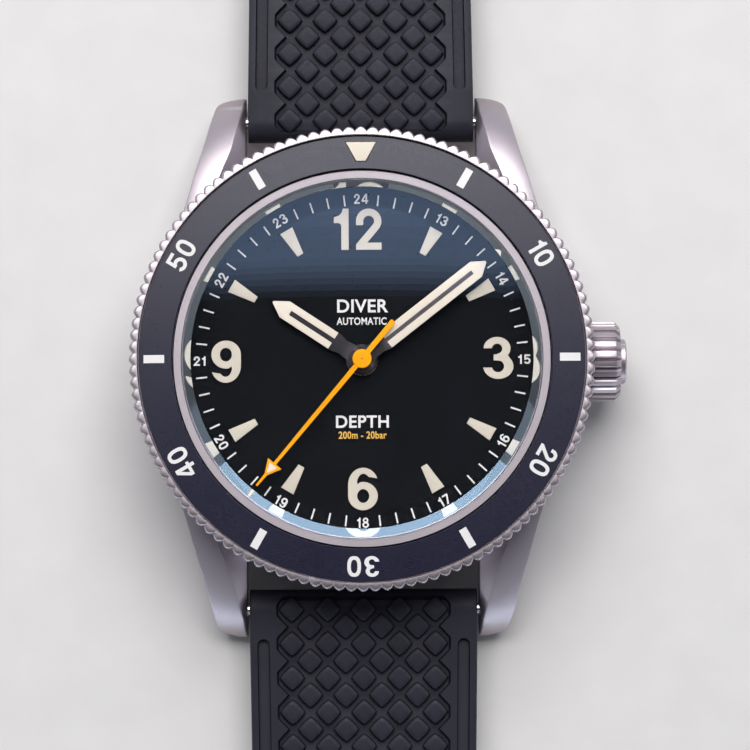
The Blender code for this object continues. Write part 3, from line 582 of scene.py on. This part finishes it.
def build_case():
    profile = [(15.55, 10.5), (16.16, 10.5), (16.19, 10.48), (16.2, 10.4), (16.2, 8.95), (16.1, 8.85),
               (16.1, 8.1), (19.0, 8.1), (19.2, 8.02), (19.3, 7.8), (19.3, 2.25), (19.26, 2.14), (18.1, 1.04),
               (18.0, 1.0), (16.6, 1.0), (16.6, 2.0), (15.9, 2.0), (15.9, 3.5), (15.15, 3.5), (15.15, 8.05),
               (14.85, 8.05), (14.85, 8.3), (15.8, 8.3), (15.8, 10.2), (15.52, 10.2), (15.52, 10.47)]
    case = add_piece("mid_case_body", turned(profile, 240, True), STEEL, "case", ("mid_case",))
    boolean(case, "UNION", [lug(x, y) for x in (-1, 1) for y in (-1, 1)])
    crown_bore = turned([(0.0, 14.0), (2.1, 14.0), (2.1, 20.5), (0.0, 20.5)], 32, along_x=CROWN_Z)
    cavity = turned([(0.0, 8.5), (14.85, 8.5), (14.85, 8.2), (15.15, 7.9), (15.15, 3.4), (15.9, 3.2),
                     (15.9, 1.8), (16.6, 1.7), (16.6, 0.2), (0.0, 0.2)], 240)
    cut(case, crown_bore, cavity, *[cross_hole(0.62, 11.5, y, BAR_Z, 24) for y in (-BAR_Y, BAR_Y)])
    edges_sharper_than(case, 26.0)
    case.data.materials.append(SATIN)
    neck_face = 10.46 * MM
    for face in case.data.polygons:
        if face.center.z > neck_face:
            face.material_index = 1


def build_case_back():
    profile = [(0.0, 0.0), (9.0, 0.0), (9.1, 0.06), (9.25, 0.06), (9.35, 0.0), (15.7, 0.0), (15.85, 0.04),
               (16.24, 0.42), (16.3, 0.55), (16.3, 1.2), (15.6, 1.2), (15.6, 3.2), (14.3, 3.2), (14.3, 0.95),
               (0.0, 0.95)]
    back = add_piece("case_back_body", turned(profile, 192), BRUSHED, "case", ("case_back",))
    notch = [(15.2, -1.2), (17.0, -1.2), (17.0, 1.2), (15.2, 1.2)]
    cut(back, *[plate([notch], -0.5, 0.6, 0.0, spun(60.0 * i)) for i in range(6)])
    edges_sharper_than(back, 28.0)


# ---------------------------------------------------------------- bezel
LOBES = 120
LOBE_DEPTH = 0.34


def lobe_depth(angle):
    """Depth below the lobes' tips: convex lobes with sharp valleys between them."""
    return LOBE_DEPTH * (1.0 - abs(math.cos(0.5 * LOBES * angle)) ** 0.85)


def insert_top(radius):
    """Height of the insert's gently sloping face."""
    return between(((16.4, 10.76), (19.12, 10.56)), radius)


def draped(shape):
    """Lay a flat print on the insert's slope."""
    for corner in shape.verts:
        corner.co.z += insert_top(corner.co.to_2d().length / MM) * MM
    return shape


def build_bezel():
    profile = [(16.3, 8.75), (18.8, 8.75), (18.8, 8.45), (19.7, 8.45, 0.7), (19.95, 8.55, 1.0),
               (20.0, 8.7, 1.0), (20.0, 10.6, 1.0), (19.97, 10.72, 1.0), (19.88, 10.81, 0.95),
               (19.76, 10.85, 0.85), (19.3, 10.85), (19.25, 10.79), (19.25, 10.0), (16.3, 10.0)]
    grip = turned(profile, 10 * LOBES, True, lobe_depth)
    add_piece("bezel_grip_ring", grip, STEEL, "bezel", ("bezel_ring",), 30.0)
    slope = [(16.31, 10.1), (19.15, 10.1), (19.15, 10.5), (19.12, 10.56), (18.2, 10.628), (17.3, 10.694),
             (16.36, 10.76), (16.31, 10.72)]
    insert = add_piece("bezel_insert_ring", turned(slope, 256, True), INSERT, "bezel",
                       ("bezel_insert",))
    cut(insert, plate([[(-1.36, 18.68), (1.36, 18.68), (0.46, 16.92), (-0.46, 16.92)]], 10.35, 11.2))
    edges_sharper_than(insert, 30.0)
    marker = plate([[(-1.3, 18.62), (1.3, 18.62), (0.4, 16.98), (-0.4, 16.98)]], 10.40, 10.79, 0.05)
    add_piece("bezel_pip", marker, LUME, "bezel", ("bezel_lume_marker",))
    bar = [(-0.345, 16.95), (0.345, 16.95), (0.345, 18.72), (-0.345, 18.72)]
    fine_bar = []
    for i in range(4):
        x0, y0 = bar[i]
        x1, y1 = bar[(i + 1) % 4]
        fine_bar += [(x0 + (x1 - x0) * t / 4, y0 + (y1 - y0) * t / 4) for t in range(4)]
    bar_mesh = plate_mesh([fine_bar], -0.03, 0.02)
    parts = [(bar_mesh, spun(6.0 * minute)) for minute in (5, 15, 25, 35, 45, 55)]
    for minute in (10, 20, 30, 40, 50):
        parts += numerals(str(minute), 1.76, -0.03, 0.02, spun(6.0 * minute) @ moved(0.0, 17.84))
    add_piece("bezel_scale", draped(gather(parts)), PRINT, "bezel")


# ---------------------------------------------------------------- crystal
def build_crystal():
    """A box crystal, domed above and below, with one flat chamfer round its top."""
    top = [(14.65 * i / 14, 12.8 - 1.02 * (i / 14) ** 2) for i in range(15)]
    under = [(14.0 * i / 12, 11.0 - 0.61 * (i / 12) ** 2) for i in range(13)]
    profile = top + [(15.45, 11.0), (15.45, 8.6), (15.4, 8.55), (15.15, 8.55), (15.1, 8.6), (15.1, 10.3),
                     (15.05, 10.39)] + under[::-1]
    glass = add_piece("crystal_glass", turned(profile, 256), SAPPHIRE, "case", ("crystal",), 26.0)
    glass.data.materials.append(BEVEL)
    for face in glass.data.polygons:
        if face.center.to_2d().length > 14.9 * MM and 11.0 * MM < face.center.z < 11.75 * MM:
            face.material_index = 1


# ---------------------------------------------------------------- dial
DIAL_TOP = 7.55
PRINT_TOP = 7.59
LUME_TOP = 7.68
WORDS = (
    ("dial_word_upper", "DIVER", 4.55, 1.12, PRINT),
    ("dial_word_small", "AUTOMATIC", 3.28, 0.62, PRINT),
    ("dial_word_lower", "DEPTH", -5.3, 1.05, PRINT),
    ("dial_depth", "200m - 20bar", -6.42, 0.62, AMBER),
)


def build_dial():
    profile = [(1.35, 7.2), (14.95, 7.2), (14.95, 7.53), (14.92, DIAL_TOP), (1.37, DIAL_TOP), (1.35, 7.53)]
    add_piece("dial_plate", turned(profile, 192, True), DIAL, "case", ("dial",))
    flange = [(14.6, 7.7), (15.05, 7.7), (15.05, 7.95), (14.98, 7.95), (14.6, 7.74)]
    add_piece("dial_flange", turned(flange, 192, True), DIAL, "case", ("inner_flange_ring",))
    low, high = DIAL_TOP - 0.02, PRINT_TOP
    tick = [(-0.065, 13.24), (0.065, 13.24), (0.065, 14.1), (-0.065, 14.1)]
    tick_mesh = plate_mesh([tick], low, high)
    parts = [(tick_mesh, spun(6.0 * m)) for m in range(60) if m % 5]
    for hour in range(1, 13):
        angle = 30.0 * hour
        upright = hour in (3, 9)
        inward = hour in (4, 5, 6, 7, 8)
        place = spun(angle) @ moved(0.0, 13.76) @ spun(-angle if upright else 180.0 if inward else 0.0)
        parts += numerals(str(12 + hour), 0.80, low, high, place, 0.7)
    add_piece("dial_scale", gather(parts), PRINT, "case")
    marker = [(-0.285, 10.4), (0.285, 10.4), (0.6, 12.82), (-0.6, 12.82)]
    marker_mesh = plate_mesh([marker], low, LUME_TOP, 0.03)
    parts = [(marker_mesh, spun(30.0 * h)) for h in (1, 2, 4, 5, 7, 8, 10, 11)]
    for text, x, y in (("12", -0.31, 11.2), ("3", 11.6, 0.1), ("6", 0.04, -11.0), ("9", -11.6, -0.05)):
        parts += numerals(text, 3.55, low, LUME_TOP, moved(x, y), 0.62)
    add_piece("dial_lume", gather(parts), DIAL_LUME, "case")
    for name, text, y, height, finish in WORDS:
        word = bpy.data.curves.new(name, "FONT")
        word.body = text
        word.align_x = "CENTER"
        word.align_y = "CENTER"
        word.size = height * 1.38 * MM
        word.extrude = 0.02 * MM
        word.offset = 0.028 * height * MM
        word.space_character = 1.06
        word.materials.append(finish)
        made = bpy.data.objects.new(name, word)
        made.location = (0.0, y * MM, DIAL_TOP * MM)
        made.scale.x = 1.0 if len(text) < 6 else 0.82
        SCENE.collection.objects.link(made)
        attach(made, "case")


# ---------------------------------------------------------------- hands
# Angles are clockwise from 12 o'clock.
HOUR_ANGLE = 303.4
MINUTE_ANGLE = 52.0
SECOND_ANGLE = 220.0


def hand(name, body, angle, bottom, hub, bore, root, shoulder, tip, lume_start, slot_end, slot_half):
    """A dark hand with a raised cream outline round a dark slot."""
    half = 0.82
    outline = arc((0.0, 0.0), hub, 125.0, 415.0, 40)
    outline += [(0.64, root), (half, root + 0.6), (half, shoulder), (0.07, tip - 0.04), (-0.07, tip - 0.04),
                (-half, shoulder), (-half, root + 0.6), (-0.64, root)]
    base = plate([outline, circle(bore, 48)], bottom, bottom + 0.14, 0.02, spun(angle))
    add_piece(name + "_blade", base, GUNMETAL, body, (name,))
    edge = half - 0.015
    cream = [(slot_half, lume_start), (edge, lume_start), (edge, shoulder), (0.08, tip - 0.06),
             (-0.08, tip - 0.06), (-edge, shoulder), (-edge, lume_start), (-slot_half, lume_start),
             (-slot_half, slot_end), (slot_half, slot_end)]
    lume = plate([cream], bottom + 0.13, bottom + 0.2, 0.025, spun(angle))
    add_piece(name + "_lume", lume, LUME, body)


def build_hands():
    hand("hour_hand", "hours", HOUR_ANGLE, 8.0, hub=1.3, bore=1.02, root=2.0, shoulder=7.85, tip=9.1,
         lume_start=2.92, slot_end=7.3, slot_half=0.21)
    hand("minute_hand", "minutes", MINUTE_ANGLE, 8.45, hub=1.15, bore=0.76, root=1.9, shoulder=12.4, tip=13.5,
         lume_start=2.6, slot_end=12.0, slot_half=0.175)
    turn = spun(SECOND_ANGLE)
    stem = arc((0.0, 0.0), 0.8, -74.0, 74.0, 24)
    stem += [(0.14, 11.6), (0.75, 11.6), (0.13, 12.8), (0.09, 14.0), (-0.09, 14.0), (-0.13, 12.8),
             (-0.75, 11.6), (-0.14, 11.6)]
    stem += arc((0.0, 0.0), 0.8, 106.0, 254.0, 24)
    stem += [(-0.24, -4.12), (-0.17, -4.2), (0.17, -4.2), (0.24, -4.12)]
    hub = turned([(0.0, 9.19), (0.06, 9.19), (0.06, 9.2), (0.28, 9.2), (0.3, 9.18), (0.36, 9.18), (0.38, 9.2),
                  (0.74, 9.19), (0.8, 9.15), (0.81, 9.1), (0.81, 9.0), (0.0, 9.0)], 64)
    parts = [(plate_mesh([stem], 9.0, 9.14, 0.03), turn), (mesh_of(hub, "hub"), Matrix.Identity(4))]
    add_piece("second_hand_blade", gather(parts), ORANGE, "seconds", ("second_hand",))
    pin = turned([(0.0, 9.2), (0.07, 9.2), (0.09, 9.17), (0.09, 9.1), (0.0, 9.1)], 20)
    add_piece("second_hand_pin", pin, GUNMETAL, "seconds")
    arrow = [(-0.42, 11.78), (0.42, 11.78), (0.06, 12.58), (-0.06, 12.58)]
    add_piece("second_hand_lume", plate([arrow], 9.13, 9.17, 0.01, turn), LUME, "seconds")


# ---------------------------------------------------------------- crown
CROWN_RIDGES = 24
CROWN_GROOVE = 0.40


def crown_depth(angle):
    """Flat ridges with V grooves between them."""
    share = abs((angle * CROWN_RIDGES / TAU) % 1.0 - 0.5) * 2.0
    return CROWN_GROOVE * max(0.0, (share - 0.52) / 0.48)


def build_crown():
    profile = [(2.35, 19.5), (3.02, 19.5, 0.05), (3.42, 19.9, 1.0), (3.45, 19.97, 1.0), (3.45, 21.98, 1.0),
               (3.42, 22.05, 1.0), (3.04, 22.42, 0.1), (2.98, 22.45), (1.97, 22.45), (1.95, 22.5),
               (1.95, 22.86), (1.88, 22.95), (1.75, 23.0), (0.0, 23.0)]
    steps = 20 * CROWN_RIDGES
    shape = turned(profile, steps, False, crown_depth, CROWN_Z)
    bore = turned([(0.0, 21.7), (2.35, 21.7), (2.35, 19.5)], steps, False, no_lobes, CROWN_Z)
    shape.from_mesh(mesh_of(bore, "bore"))
    bmesh.ops.remove_doubles(shape, verts=shape.verts, dist=MERGE * MM)
    add_piece("crown_grip", shape, STEEL, "crown", ("crown",), 26.0)


# ---------------------------------------------------------------- strap
# u is the distance along the strap from its spring bar.
STRAP_HALF_WIDTH = 9.9
END_R = 1.75
ROW_PITCH = 2.97
FIRST_ROW = 0.05
BLOCK_PITCH = 3.13
FIELD_HALF = 7.55
FIELD_DEPTH = 0.6
FIELD_CORNER = 0.92
BLOCK_POWER = 1.24
SLOT_X = 8.72
SLOT_HALF = 0.54
SLOT_DEPTH = 0.5
SLOT_START = 2.6
TIP_LENGTH = 9.0
HOLE_COUNT = 10
HOLE_PITCH = 6.0
FIRST_HOLE = 50.0
BUCKLE_Z = 2.75
BUCKLE_BAR_R = 0.85
BUCKLE_STRAP = 75.0
TAIL_STRAP = 120.0


def width_scale(u):
    """Share of the full width that is left where the strap tapers."""
    return between(((2.0, 1.0), (65.0, 9.0 / STRAP_HALF_WIDTH)), u)


def strap_loops(length, top, bottom, pattern_end, tip):
    """Cross-sections along the strap, from the spring bar to its far end."""
    stations = [-END_R * math.cos(math.radians(d)) for d in (12, 22, 35, 50, 65, 78)]
    u = -0.2
    while u < pattern_end + 1.5:
        stations.append(u)
        u += ROW_PITCH / 12.0
    stations += [SLOT_START + SLOT_HALF * s for s in (0.0, 0.05, 0.2, 0.4, 0.65, 1.0)]
    tip_start = length - TIP_LENGTH
    while u < tip_start:
        stations.append(u)
        u += 2.0
    if tip:
        stations += [tip_start + TIP_LENGTH * math.sin(math.radians(d)) for d in range(0, 84, 6)]
    else:
        stations += [length - back for back in (7.0, 5.6, 4.6, 4.0)]
    loops = []
    for u in sorted(stations):
        round_end = math.sqrt(max(0.0, END_R**2 - u * u)) if u < 0.0 else None
        high = BAR_Z + round_end if round_end else between([(0.0, BAR_Z + END_R)] + top, u)
        low = BAR_Z - round_end if round_end else between([(0.0, BAR_Z - END_R)] + bottom, u)
        wide = STRAP_HALF_WIDTH * width_scale(u)
        if tip and u > tip_start:
            share = (u - length + TIP_LENGTH) / TIP_LENGTH
            wide *= math.sqrt(max(0.03, 1.0 - share * share))
        if not tip and u > length - 7.0:
            wide = min(wide, between(((length - 7.0, 9.0), (length - 4.0, 8.5)), u))
        scale = wide / STRAP_HALF_WIDTH
        fade = between(((-1.1, 0.0), (-0.7, 1.0), (pattern_end, 1.0), (pattern_end + 0.4, 0.0)), u)
        gap = (u - FIRST_ROW - 0.5 * ROW_PITCH) / ROW_PITCH
        tooth = FIELD_CORNER * max(0.0, 1.0 - abs(gap - round(gap)) * ROW_PITCH / 0.95)
        inner = (FIELD_HALF - tooth) * scale
        run = min(u - SLOT_START, pattern_end - 1.0 - u)
        if run <= 0.0:
            slot_half, slot_depth = 0.03, 0.0
        else:
            slot_half = SLOT_HALF * math.sqrt(max(0.01, 1.0 - max(0.0, 1.0 - run / SLOT_HALF) ** 2))
            slot_depth = SLOT_DEPTH
        middle = SLOT_X * scale
        corner = min(0.3, 0.3 * (high - low))
        half = [(wide - corner, low), (wide - 0.3 * corner, low + 0.3 * corner), (wide, low + corner),
                (wide, high - corner), (wide - 0.3 * corner, high - 0.3 * corner), (wide - corner, high),
                (middle + slot_half, high), (middle + 0.85 * slot_half, high - slot_depth),
                (middle - 0.85 * slot_half, high - slot_depth), (middle - slot_half, high),
                (inner + 0.06, high), (inner, high - 0.08 * fade), (inner - 0.12, high - FIELD_DEPTH * fade)]
        section = half + [(-x, z) for x, z in half[::-1]]
        loops.append([(x, u, z) for x, z in section])
    return loops


def block_shape(shape, x, u, top):
    """A domed, rounded diamond standing on the strap's sunken floor; the foot of its wall is in the darker
    rubber, as painted shade.
    """
    rings = []
    for reach, height in ((1.14, -0.05), (1.05, 0.40), (0.98, 0.50), (0.88, 0.57), (0.60, 0.60)):
        ring = []
        for i in range(24):
            c, s = math.cos(TAU * i / 24), math.sin(TAU * i / 24)
            r = reach / (abs(c) ** BLOCK_POWER + abs(s) ** BLOCK_POWER) ** (1.0 / BLOCK_POWER)
            at = u + r * s
            z = between(top, at) - FIELD_DEPTH + height
            ring.append(shape.verts.new(Vector((x + r * c, at, z)) * MM))
        rings.append(ring)
    for near, far in zip(rings, rings[1:]):
        for i in range(24):
            j = (i + 1) % 24
            face = shape.faces.new((near[i], near[j], far[j], far[i]))
            # The lowest band of each block's wall takes the darker rubber: painted shade where the wall meets
            # the sunken floor.
            face.material_index = int(near is rings[0])
    shape.faces.new(rings[0][::-1])
    shape.faces.new(rings[-1])


def build_strap(name, body, node, length, top, bottom, pattern_end, tip):
    """Half a strap along +Y; with a tip it gets holes and is turned to the 6 o'clock side."""
    top_line = [(-1.75, BAR_Z + 1.2), (-1.2, BAR_Z + 1.35), (-0.6, BAR_Z + 1.64), (0.0, BAR_Z + END_R)] + top
    base = loft(strap_loops(length, top, bottom, pattern_end, tip))
    made = add_piece(name, base, RUBBER, body, (node,), 35.0)
    cut(made, cross_hole(1.0, 12.0, 0.0, BAR_Z))
    if tip:
        for i in range(HOLE_COUNT):
            hole = turned([(0.0, -1.0), (1.45, -1.0), (1.1, 0.25), (1.1, 2.3), (1.4, 5.0), (0.0, 5.0)], 32)
            bmesh.ops.translate(hole, vec=(0.0, (FIRST_HOLE + HOLE_PITCH * i) * MM, 0.0), verts=hole.verts)
            cut(made, hole)
    else:
        outline = arc((length, 0.0), 1.6, -90.0, 90.0, 20) + [(length - 4.5, 1.2), (length - 4.5, -1.5)]
        end = plate([outline], -8.5, 8.5)
        bmesh.ops.transform(end, matrix=moved(0.0, 0.0, BUCKLE_Z) @ SIDEWAYS, verts=end.verts)
        boolean(made, "UNION", [end])
        tongue_slot = plate([[(-1.2, 72.2), (1.2, 72.2), (1.2, 78.0), (-1.2, 78.0)]], -1.0, 7.0)
        cut(made, cross_hole(BUCKLE_BAR_R, 12.0, length, BUCKLE_Z), tongue_slot)
    # Faces 0.15 to 0.44 mm below the strap's top (the walls of the sunken field and of the side slots) take
    # the darker rubber: painted shade in the recesses.
    made.data.materials.append(STRAP_PAINTED_SHADE)
    for face in made.data.polygons:
        x, u, z = (value / MM for value in face.center)
        below = between(top_line, u) - z
        if 0.15 < below < 0.44 and -1.2 < u < pattern_end + 0.6 and abs(x) < 9.35 * width_scale(u):
            face.material_index = 1
    shape = bmesh.new()
    shape.from_mesh(made.data)
    row = 0
    while FIRST_ROW + 0.5 * ROW_PITCH * row < pattern_end - 1.2:
        u = FIRST_ROW + 0.5 * ROW_PITCH * row
        columns = (-2, -1, 0, 1, 2) if row % 2 == 0 else (-1.5, -0.5, 0.5, 1.5)
        for column in columns:
            block_shape(shape, column * BLOCK_PITCH * width_scale(u), u, top_line)
        row += 1
    if tip:
        half_turn = Matrix.Rotation(math.pi, 3, "Z")
        bmesh.ops.rotate(shape, cent=(0.0, 0.0, 0.0), matrix=half_turn, verts=shape.verts)
    bmesh.ops.translate(shape, vec=(0.0, (-BAR_Y if tip else BAR_Y) * MM, 0.0), verts=shape.verts)
    shape.to_mesh(made.data)
    shape.free()
    edges_sharper_than(made, 35.0)


def build_straps():
    build_strap("strap_to_buckle", "strap_12", "strap_buckle_side", BUCKLE_STRAP,
                [(4.0, 4.62), (12.0, 4.3), (24.0, 4.05), (40.0, 3.9), (68.0, 3.9), (71.0, 4.0)],
                [(4.0, 1.15), (24.0, 1.25), (68.0, 1.25), (71.0, 1.2)], 48.2, False)
    build_strap("strap_with_holes", "strap_6", "strap_tail_side", TAIL_STRAP,
                [(4.0, 4.55), (12.0, 4.1), (24.0, 3.55), (36.0, 3.1), (48.0, 2.8), (65.0, 2.6), (108.0, 2.4),
                 (114.0, 2.4), (117.0, 2.3), (119.0, 2.1)],
                [(4.0, 1.0), (12.0, 0.55), (24.0, 0.1), (30.0, 0.0), (114.0, 0.0), (117.0, 0.2),
                 (119.0, 0.6)], 45.2, True)


def build_keepers():
    for name, body, node, distance in (("keeper_fixed_loop", "strap_12", "fixed_keeper", 64.0),
                                       ("keeper_loose_loop", "loose_keeper", "loose_keeper", 52.0)):
        outside = [(x, y + 3.65) for x, y in rounded_box(10.6, 3.65, 1.0)]
        inside = [(x, y + 3.65 + 0.05) for x, y in rounded_box(9.4, 2.7, 0.4)]
        stand = moved(0.0, BAR_Y + distance) @ Matrix.Rotation(math.radians(90.0), 4, "X")
        loop = plate([outside, inside], -3.0, 3.0, 0.22, stand)
        add_piece(name, loop, RUBBER, body, (node,), 30.0)


def build_buckle():
    """A wire frame that leans down from its bar almost to the ground, and its tongue."""
    reach = 10.6
    drop = math.asin((BUCKLE_Z - 1.2 - 0.05) / reach)
    place = moved(0.0, BAR_Y + BUCKLE_STRAP, BUCKLE_Z) @ Matrix.Rotation(-drop, 4, "X")
    right = [(10.2, -1.3), (10.2, 0.0), (10.2, 1.5), (10.2, 3.0), (10.2, 5.5)]
    right += arc((7.8, reach - 2.4), 2.4, 0.0, 90.0, 12)
    path = [(x, y, 0.0) for x, y in right] + [(0.0, reach, 0.0)] + [(-x, y, 0.0) for x, y in right[::-1]]
    wire = tube(path, 1.18, 24)
    bmesh.ops.transform(wire, matrix=place, verts=wire.verts)
    buckle = add_piece("buckle_wire", wire, STEEL, "buckle", ("buckle_frame",), 40.0)
    bore = cross_hole(BUCKLE_BAR_R, 12.0, 0.0, 0.0, 24)
    bmesh.ops.transform(bore, matrix=place, verts=bore.verts)
    cut(buckle, bore)
    edges_sharper_than(buckle, 40.0)
    arm = arc((0.0, 0.0), 1.35, 60.0, 340.0, 32)
    arm += [(4.0, 0.35), (6.0, 0.9), (8.6, 1.3), (11.8, 1.35), (12.2, 1.05), (12.45, 1.25), (12.3, 1.7),
            (11.9, 2.1), (8.4, 2.1), (6.0, 1.75), (4.0, 1.25)]
    tongue = plate([arm, circle(BUCKLE_BAR_R, 24)], -0.9, 0.9, 0.15, place @ SIDEWAYS)
    add_piece("buckle_pin", tongue, STEEL, "tongue", ("buckle_tongue",), 30.0)


# ---------------------------------------------------------------- finishes on the CAD nodes that stay
STAYING = (
    (STEEL, ("crown_tube",)),
    (POLISHED, ("spring_bar_12", "spring_bar_6", "buckle_bar")),
    (SEAL, ("case_back_gasket", "crystal_gasket", "bezel_gasket", "crown_gasket")),
    (BRASS, ("great_wheel", "third_wheel", "seconds_wheel", "minute_wheel", "hour_wheel", "cannon_pinion",
             "balance_wheel")),
    (NICKEL, ("main_plate", "train_bridge", "balance_cock", "barrel")),
    (SPRING, ("bezel_click_spring", "escape_wheel", "pallet_fork", "hairspring", "winding_stem",
              "sliding_clutch", "winding_pinion", "bridge_screw_1", "bridge_screw_2", "bridge_screw_3",
              "rotor_axle")),
    (TUNGSTEN, ("rotor",)),
    (HOLDER, ("movement_holder",)),
)


def finish_cad():
    for finish, names in STAYING:
        for name in names:
            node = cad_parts[name]
            node.material_slots[0].material = finish


# ---------------------------------------------------------------- floor, light and camera
def build_stage():
    floor = bmesh.new()
    bmesh.ops.create_grid(floor, x_segments=1, y_segments=1, size=3.0)
    mesh = mesh_of(floor, "floor")
    mesh.materials.append(grained("pale_floor", (0.70, 0.69, 0.67), (0.67, 0.66, 0.64), 0.7, 0.05,
                                  grain=800.0, depth=0.02))
    made = bpy.data.objects.new("floor", mesh)
    made.location.z = -0.03 * MM
    SCENE.collection.objects.link(made)


def lamp(name, power, size, place, target, colour):
    """An area lamp in watts and metres, aimed at a target and hidden from the camera."""
    light = bpy.data.lights.new(name, "AREA")
    light.energy = power
    light.shape = "RECTANGLE"
    light.size, light.size_y = size
    light.color = colour
    made = bpy.data.objects.new(name, light)
    made.location = place
    made.rotation_euler = (Vector(target) - Vector(place)).to_track_quat("-Z", "Y").to_euler()
    made.visible_camera = False
    SCENE.collection.objects.link(made)


def build_light():
    """A soft box behind 12 o'clock that fades out in strips, a low cool window and a dim sky."""
    world = bpy.data.worlds.new("studio")
    world.use_nodes = True
    nodes, links = world.node_tree.nodes, world.node_tree.links
    place = nodes.new("ShaderNodeTexCoord")
    split = nodes.new("ShaderNodeSeparateXYZ")
    links.new(place.outputs["Generated"], split.inputs[0])
    total = nodes.new("ShaderNodeMath")
    total.operation = "ADD"
    for i, numbers in enumerate(((0.55, 0.95, 0.42, 0.03), (0.02, 0.16, 0.9, 0.0))):
        layer = nodes.new("ShaderNodeMapRange")
        layer.interpolation_type = "SMOOTHSTEP"
        for socket, number in zip(("From Min", "From Max", "To Min", "To Max"), numbers):
            layer.inputs[socket].default_value = number
        links.new(split.outputs["Z"], layer.inputs["Value"])
        links.new(layer.outputs["Result"], total.inputs[i])
    links.new(total.outputs[0], nodes["Background"].inputs["Strength"])
    nodes["Background"].inputs["Color"].default_value = (0.86, 0.89, 1.0, 1.0)
    SCENE.world = world
    SCENE.view_settings.view_transform = "Standard"
    centre, aim = Vector((0.0, 0.351, 0.4925)), Vector((0.0, 0.0, 0.01))
    upward = (aim - centre).cross(Vector((1.0, 0.0, 0.0))).normalized()
    power, wide, high, strip = 4.7, 0.6, 0.44, 0.009
    white, cool = (1.0, 0.985, 1.0), (0.66, 0.84, 1.0)
    lamp("softbox", power, (wide, high), centre, aim, white)
    for step in range(6):
        share = 0.92 - 0.168 * step
        place = centre + upward * (0.5 * (high + strip) + strip * step)
        lamp(f"softbox_edge_{step}", power * share * strip / high, (wide, strip), place,
             aim + place - centre, white)
    lamp("window", 23.75, (7.5, 0.22), (0.0, -2.5, 0.126), (0.0, 0.0, 0.011), cool)


def build_camera():
    camera = bpy.data.cameras.new("camera")
    camera.lens = 168.2
    camera.sensor_width = 36.0
    camera.clip_start = 0.01
    camera.clip_end = 10.0
    made = bpy.data.objects.new("camera", camera)
    SCENE.collection.objects.link(made)
    bezel_plane, distance = 10.85, 300.0
    lean = math.radians(90.0 - 85.6)
    raised = Vector((0.0, -distance * math.sin(lean), bezel_plane + distance * math.cos(lean)))
    made.location = raised * MM
    aim = Vector((1.1, -1.49, bezel_plane)) * MM
    back = (made.location - aim).normalized()
    right = Vector((0.0, 1.0, 0.0)).cross(back).normalized()
    look = Matrix((right, back.cross(right), back)).transposed().to_4x4()
    roll = Matrix.Rotation(-math.radians(0.35), 4, "Z")
    made.rotation_euler = (look @ roll).to_euler()
    SCENE.camera = made


build_case()
build_case_back()
build_bezel()
build_crystal()
build_dial()
build_hands()
build_crown()
build_straps()
build_keepers()
build_buckle()
finish_cad()
build_stage()
build_light()
build_camera()
